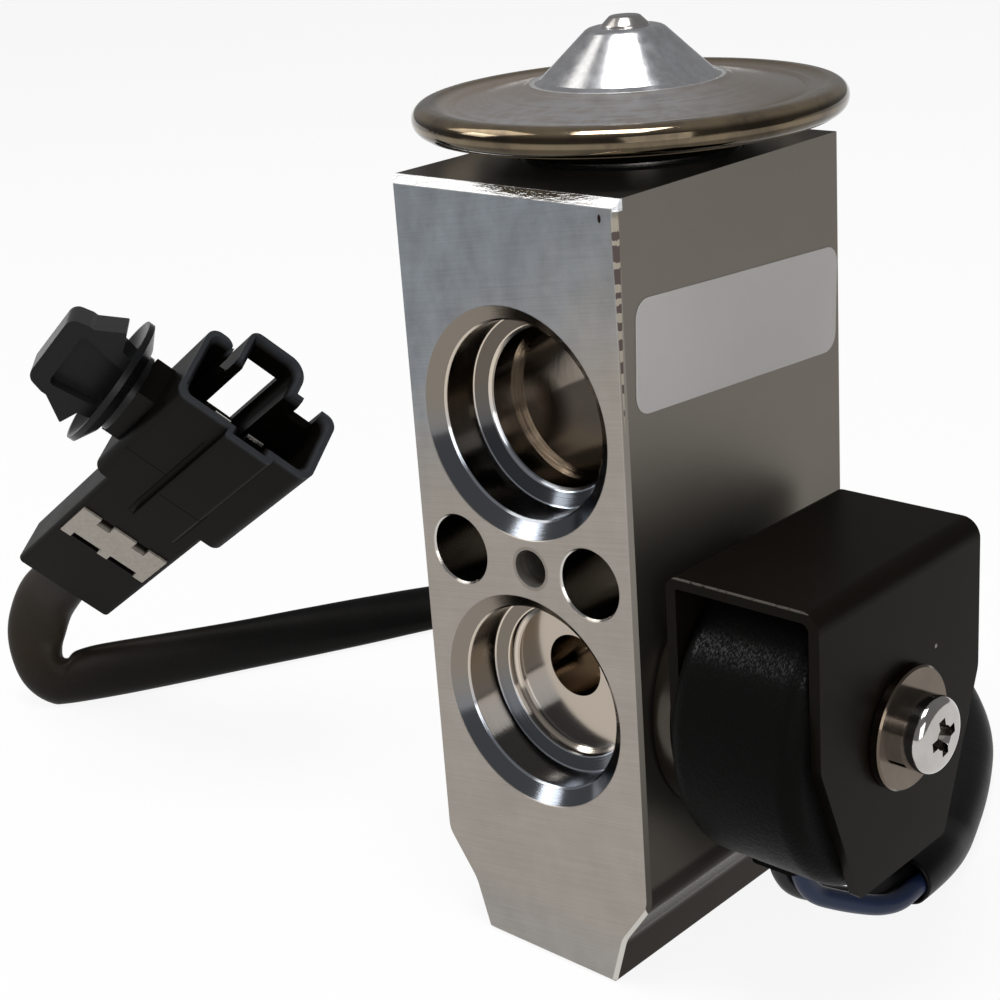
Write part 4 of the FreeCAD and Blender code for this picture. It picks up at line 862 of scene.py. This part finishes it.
# Plug
# Black moulded housing with a latch bridge, an off-white contact lock pushed into its near
# side, two tinned blades, and a push-in clip with barbs for the vehicle's sheet metal.
PLUG_CENTRE = (-0.09483, -0.01143, 0.02347)
PLUG_ALONG = (0.8231, 0.0, 0.5678)
PLUG_ACROSS = (0.4697, 0.5621, -0.6808)
PLUG_THROUGH = (-0.3192, 0.8271, 0.4627)
PLUG_NEAR = -0.00375
PLUG_BLACK = (0.0038, 0.0031, 0.0026)
PLUG_RIM_HIGHLIGHT = (0.030, 0.032, 0.037)
PLUG_MOUTH = 0.0540
CLIP_BLACK = (0.0060, 0.0062, 0.0068)
LOCK_WHITE = (0.30, 0.270, 0.232)
LOCK_GAP_SHADE = (0.010, 0.008, 0.006)
TIN = (0.55, 0.52, 0.48)
PLUG_TINT = (1.0, 0.93, 0.86)
SEAM_RELIEF = 0.00008
SEAM_HALF = 0.00007
SEAM_SOFT = 0.00008
# Joint lines of the mould: middle and half length along the plug, then across it, and strength.
SEAMS = ((0.0352, SEAM_HALF, 0.0019, 0.0034, 1.0), (0.0263, SEAM_HALF, 0.0015, 0.0037, 0.5),
         (0.0375, 0.0110, -0.0025, SEAM_HALF, 0.7), (0.0306, 0.0046, 0.0052, SEAM_HALF, 0.5))
# The line that runs on to the plug's edge: its place along the plug, and where it starts.
LONG_SEAM = (0.0380, -0.0026)


def housing_plastic():
    """Satin black with the thin joint lines of the mould on the near face, and a painted highlight round the
    rim of the mouth.
    """
    finish = Finish("plug_plastic", Specular_IOR_Level=0.045, Specular_Tint=PLUG_TINT)
    run = finish.along(PLUG_ALONG, PLUG_CENTRE)
    across = finish.along(PLUG_ACROSS, PLUG_CENTRE)
    depth = finish.along(PLUG_THROUGH, PLUG_CENTRE)
    near = depth.rise(PLUG_NEAR + 0.0003, PLUG_NEAR + 0.0001)
    seams = run.band(LONG_SEAM[0], SEAM_HALF, SEAM_SOFT) * across.rise(LONG_SEAM[1], LONG_SEAM[1] - 0.0003)
    for run_middle, run_half, across_middle, across_half, strength in SEAMS:
        line = run.band(run_middle, run_half, SEAM_SOFT) * across.band(across_middle, across_half, SEAM_SOFT)
        seams = seams.most(line * strength)
    seams = seams * near
    grain = finish.noise(2600, 3.0)
    cloud = finish.noise(150, 3.0)
    # Painted highlight on the rounded rim of the mouth.
    rim = run.rise(PLUG_MOUTH - 0.0009, PLUG_MOUTH - 0.0001) * (0.4 + 1.2 * cloud)
    black = finish.shade(PLUG_BLACK, 0.6 + 0.4 * grain + 0.4 * cloud - 0.5 * seams)
    finish.feed(Base_Color=finish.mix(rim, black, PLUG_RIM_HIGHLIGHT),
                Roughness=0.42 + 0.10 * (grain - 0.5) + 0.10 * (cloud - 0.5) + 0.2 * seams)
    finish.bump(0.1 * grain - seams, SEAM_RELIEF)
    return finish


def lock_plastic():
    """Off-white and grainy, with painted shade in the gaps between its teeth."""
    finish = Finish("lock_plastic", Specular_IOR_Level=0.3)
    depth = finish.along(PLUG_THROUGH, PLUG_CENTRE)
    grain = finish.noise(1800, 3.0)
    white = finish.shade(LOCK_WHITE, 0.75 + 0.5 * grain)
    # Painted shade where the lock lies deeper than its near face.
    finish.feed(Base_Color=finish.mix(depth.rise(PLUG_NEAR, PLUG_NEAR + 0.0007), white, LOCK_GAP_SHADE),
                Roughness=0.5 + 0.14 * (grain - 0.5))
    finish.bump(grain, GRAIN_RELIEF)
    return finish


dress(housing_plastic(), "connector_housing")
dress(moulded("clip_plastic", CLIP_BLACK, 0.30, grain_scale=2600, relief=GRAIN_RELIEF, gloss=0.18),
      "connector_clip")
dress(lock_plastic(), "connector_retainer")
dress(turned_metal("contact_tin", TIN, 0.2), "connector_blades")

# Studio
# Pale floor that shows as plain white, a soft lamp overhead, three weaker ones from the left and
# the right, and the camera at the height and distance that the photograph was taken from.
CAMERA_PLACE = (0.13217, -0.15796, 0.12662)
CAMERA_TURN = (69.599, 3.972, 42.538)
CAMERA_LENS = 71.125
FLOOR_HALF = 20.0
FLOOR_WHITE = (0.8, 0.8, 0.8)
FLOOR_GLOW = 0.90
WORLD = (0.24, 0.24, 0.245)
LAMP_AIM = (0, 0, 0.05)
# Name, place, side in metres, power in watts and colour.
LAMPS = (("key", (0.06, -0.15, 0.85), 0.36, 5.2, (1, 1, 1)),
         ("fill", (-0.48, -0.28, 0.58), 0.44, 0.9, (1.0, 0.97, 0.92)),
         ("low_left", (-0.52, -0.42, 0.42), 0.22, 0.9, (0.94, 0.97, 1.0)),
         ("side", (0.62, -0.46, 0.30), 0.50, 2.4, (1, 1, 1)))


def camera():
    """Camera at its place, turned about each axis in degrees."""
    lens = bpy.data.cameras.new("camera")
    lens.lens = CAMERA_LENS
    lens.sensor_width = 36.0
    lens.clip_start = 0.01
    body = bpy.data.objects.new("camera", lens)
    body.location = CAMERA_PLACE
    body.rotation_euler = [math.radians(angle) for angle in CAMERA_TURN]
    bpy.context.scene.collection.objects.link(body)
    bpy.context.scene.camera = body


def lamp(name, place, side, power, colour):
    """A soft square lamp that faces the middle of the block."""
    light = bpy.data.lights.new(name, "AREA")
    light.shape = "SQUARE"
    light.size = side
    light.energy = power
    light.color = colour
    body = bpy.data.objects.new(name, light)
    body.location = place
    x, y, z = np.subtract(place, LAMP_AIM)
    body.rotation_euler = (math.atan2(math.hypot(x, y), z), 0, math.atan2(x, -y))
    bpy.context.scene.collection.objects.link(body)


def floor():
    """A plate that is white to the camera and in reflections and still takes the shadow: a glow
    is mixed into its surface for those rays alone."""
    corners = np.array([(-1, -1, 0), (1, -1, 0), (1, 1, 0), (-1, 1, 0)]) * FLOOR_HALF
    mesh = bpy.data.meshes.new("floor")
    mesh.from_pydata(corners.tolist(), [], [(0, 1, 2, 3)])
    plate = bpy.data.objects.new("floor", mesh)
    bpy.context.scene.collection.objects.link(plate)
    finish = Finish("floor_white", Roughness=0.9, Base_Color=FLOOR_WHITE)
    glow = finish.node("ShaderNodeEmission", {}, {"Color": (1, 1, 1), "Strength": 1.0})
    rays = finish.tree.nodes.new("ShaderNodeLightPath").outputs
    seen = Socket(finish, rays["Is Camera Ray"]).most(Socket(finish, rays["Is Glossy Ray"]))
    seen = seen.most(Socket(finish, rays["Is Transmission Ray"]))
    plain = Socket(finish, finish.shader.outputs[0])
    blend = finish.node("ShaderNodeMixShader", {}, {0: seen * FLOOR_GLOW, 1: plain, 2: glow})
    finish.join(finish.tree.nodes["Material Output"].inputs["Surface"], blend)
    mesh.materials.append(finish.material)


def surroundings():
    """An even grey room."""
    world = bpy.data.worlds.new("studio")
    bpy.context.scene.world = world
    world.use_nodes = True
    world.node_tree.nodes["Background"].inputs["Color"].default_value = (*WORLD, 1)


camera()
floor()
surroundings()
for settings in LAMPS:
    lamp(*settings)
bpy.context.scene.view_settings.view_transform = "Standard"
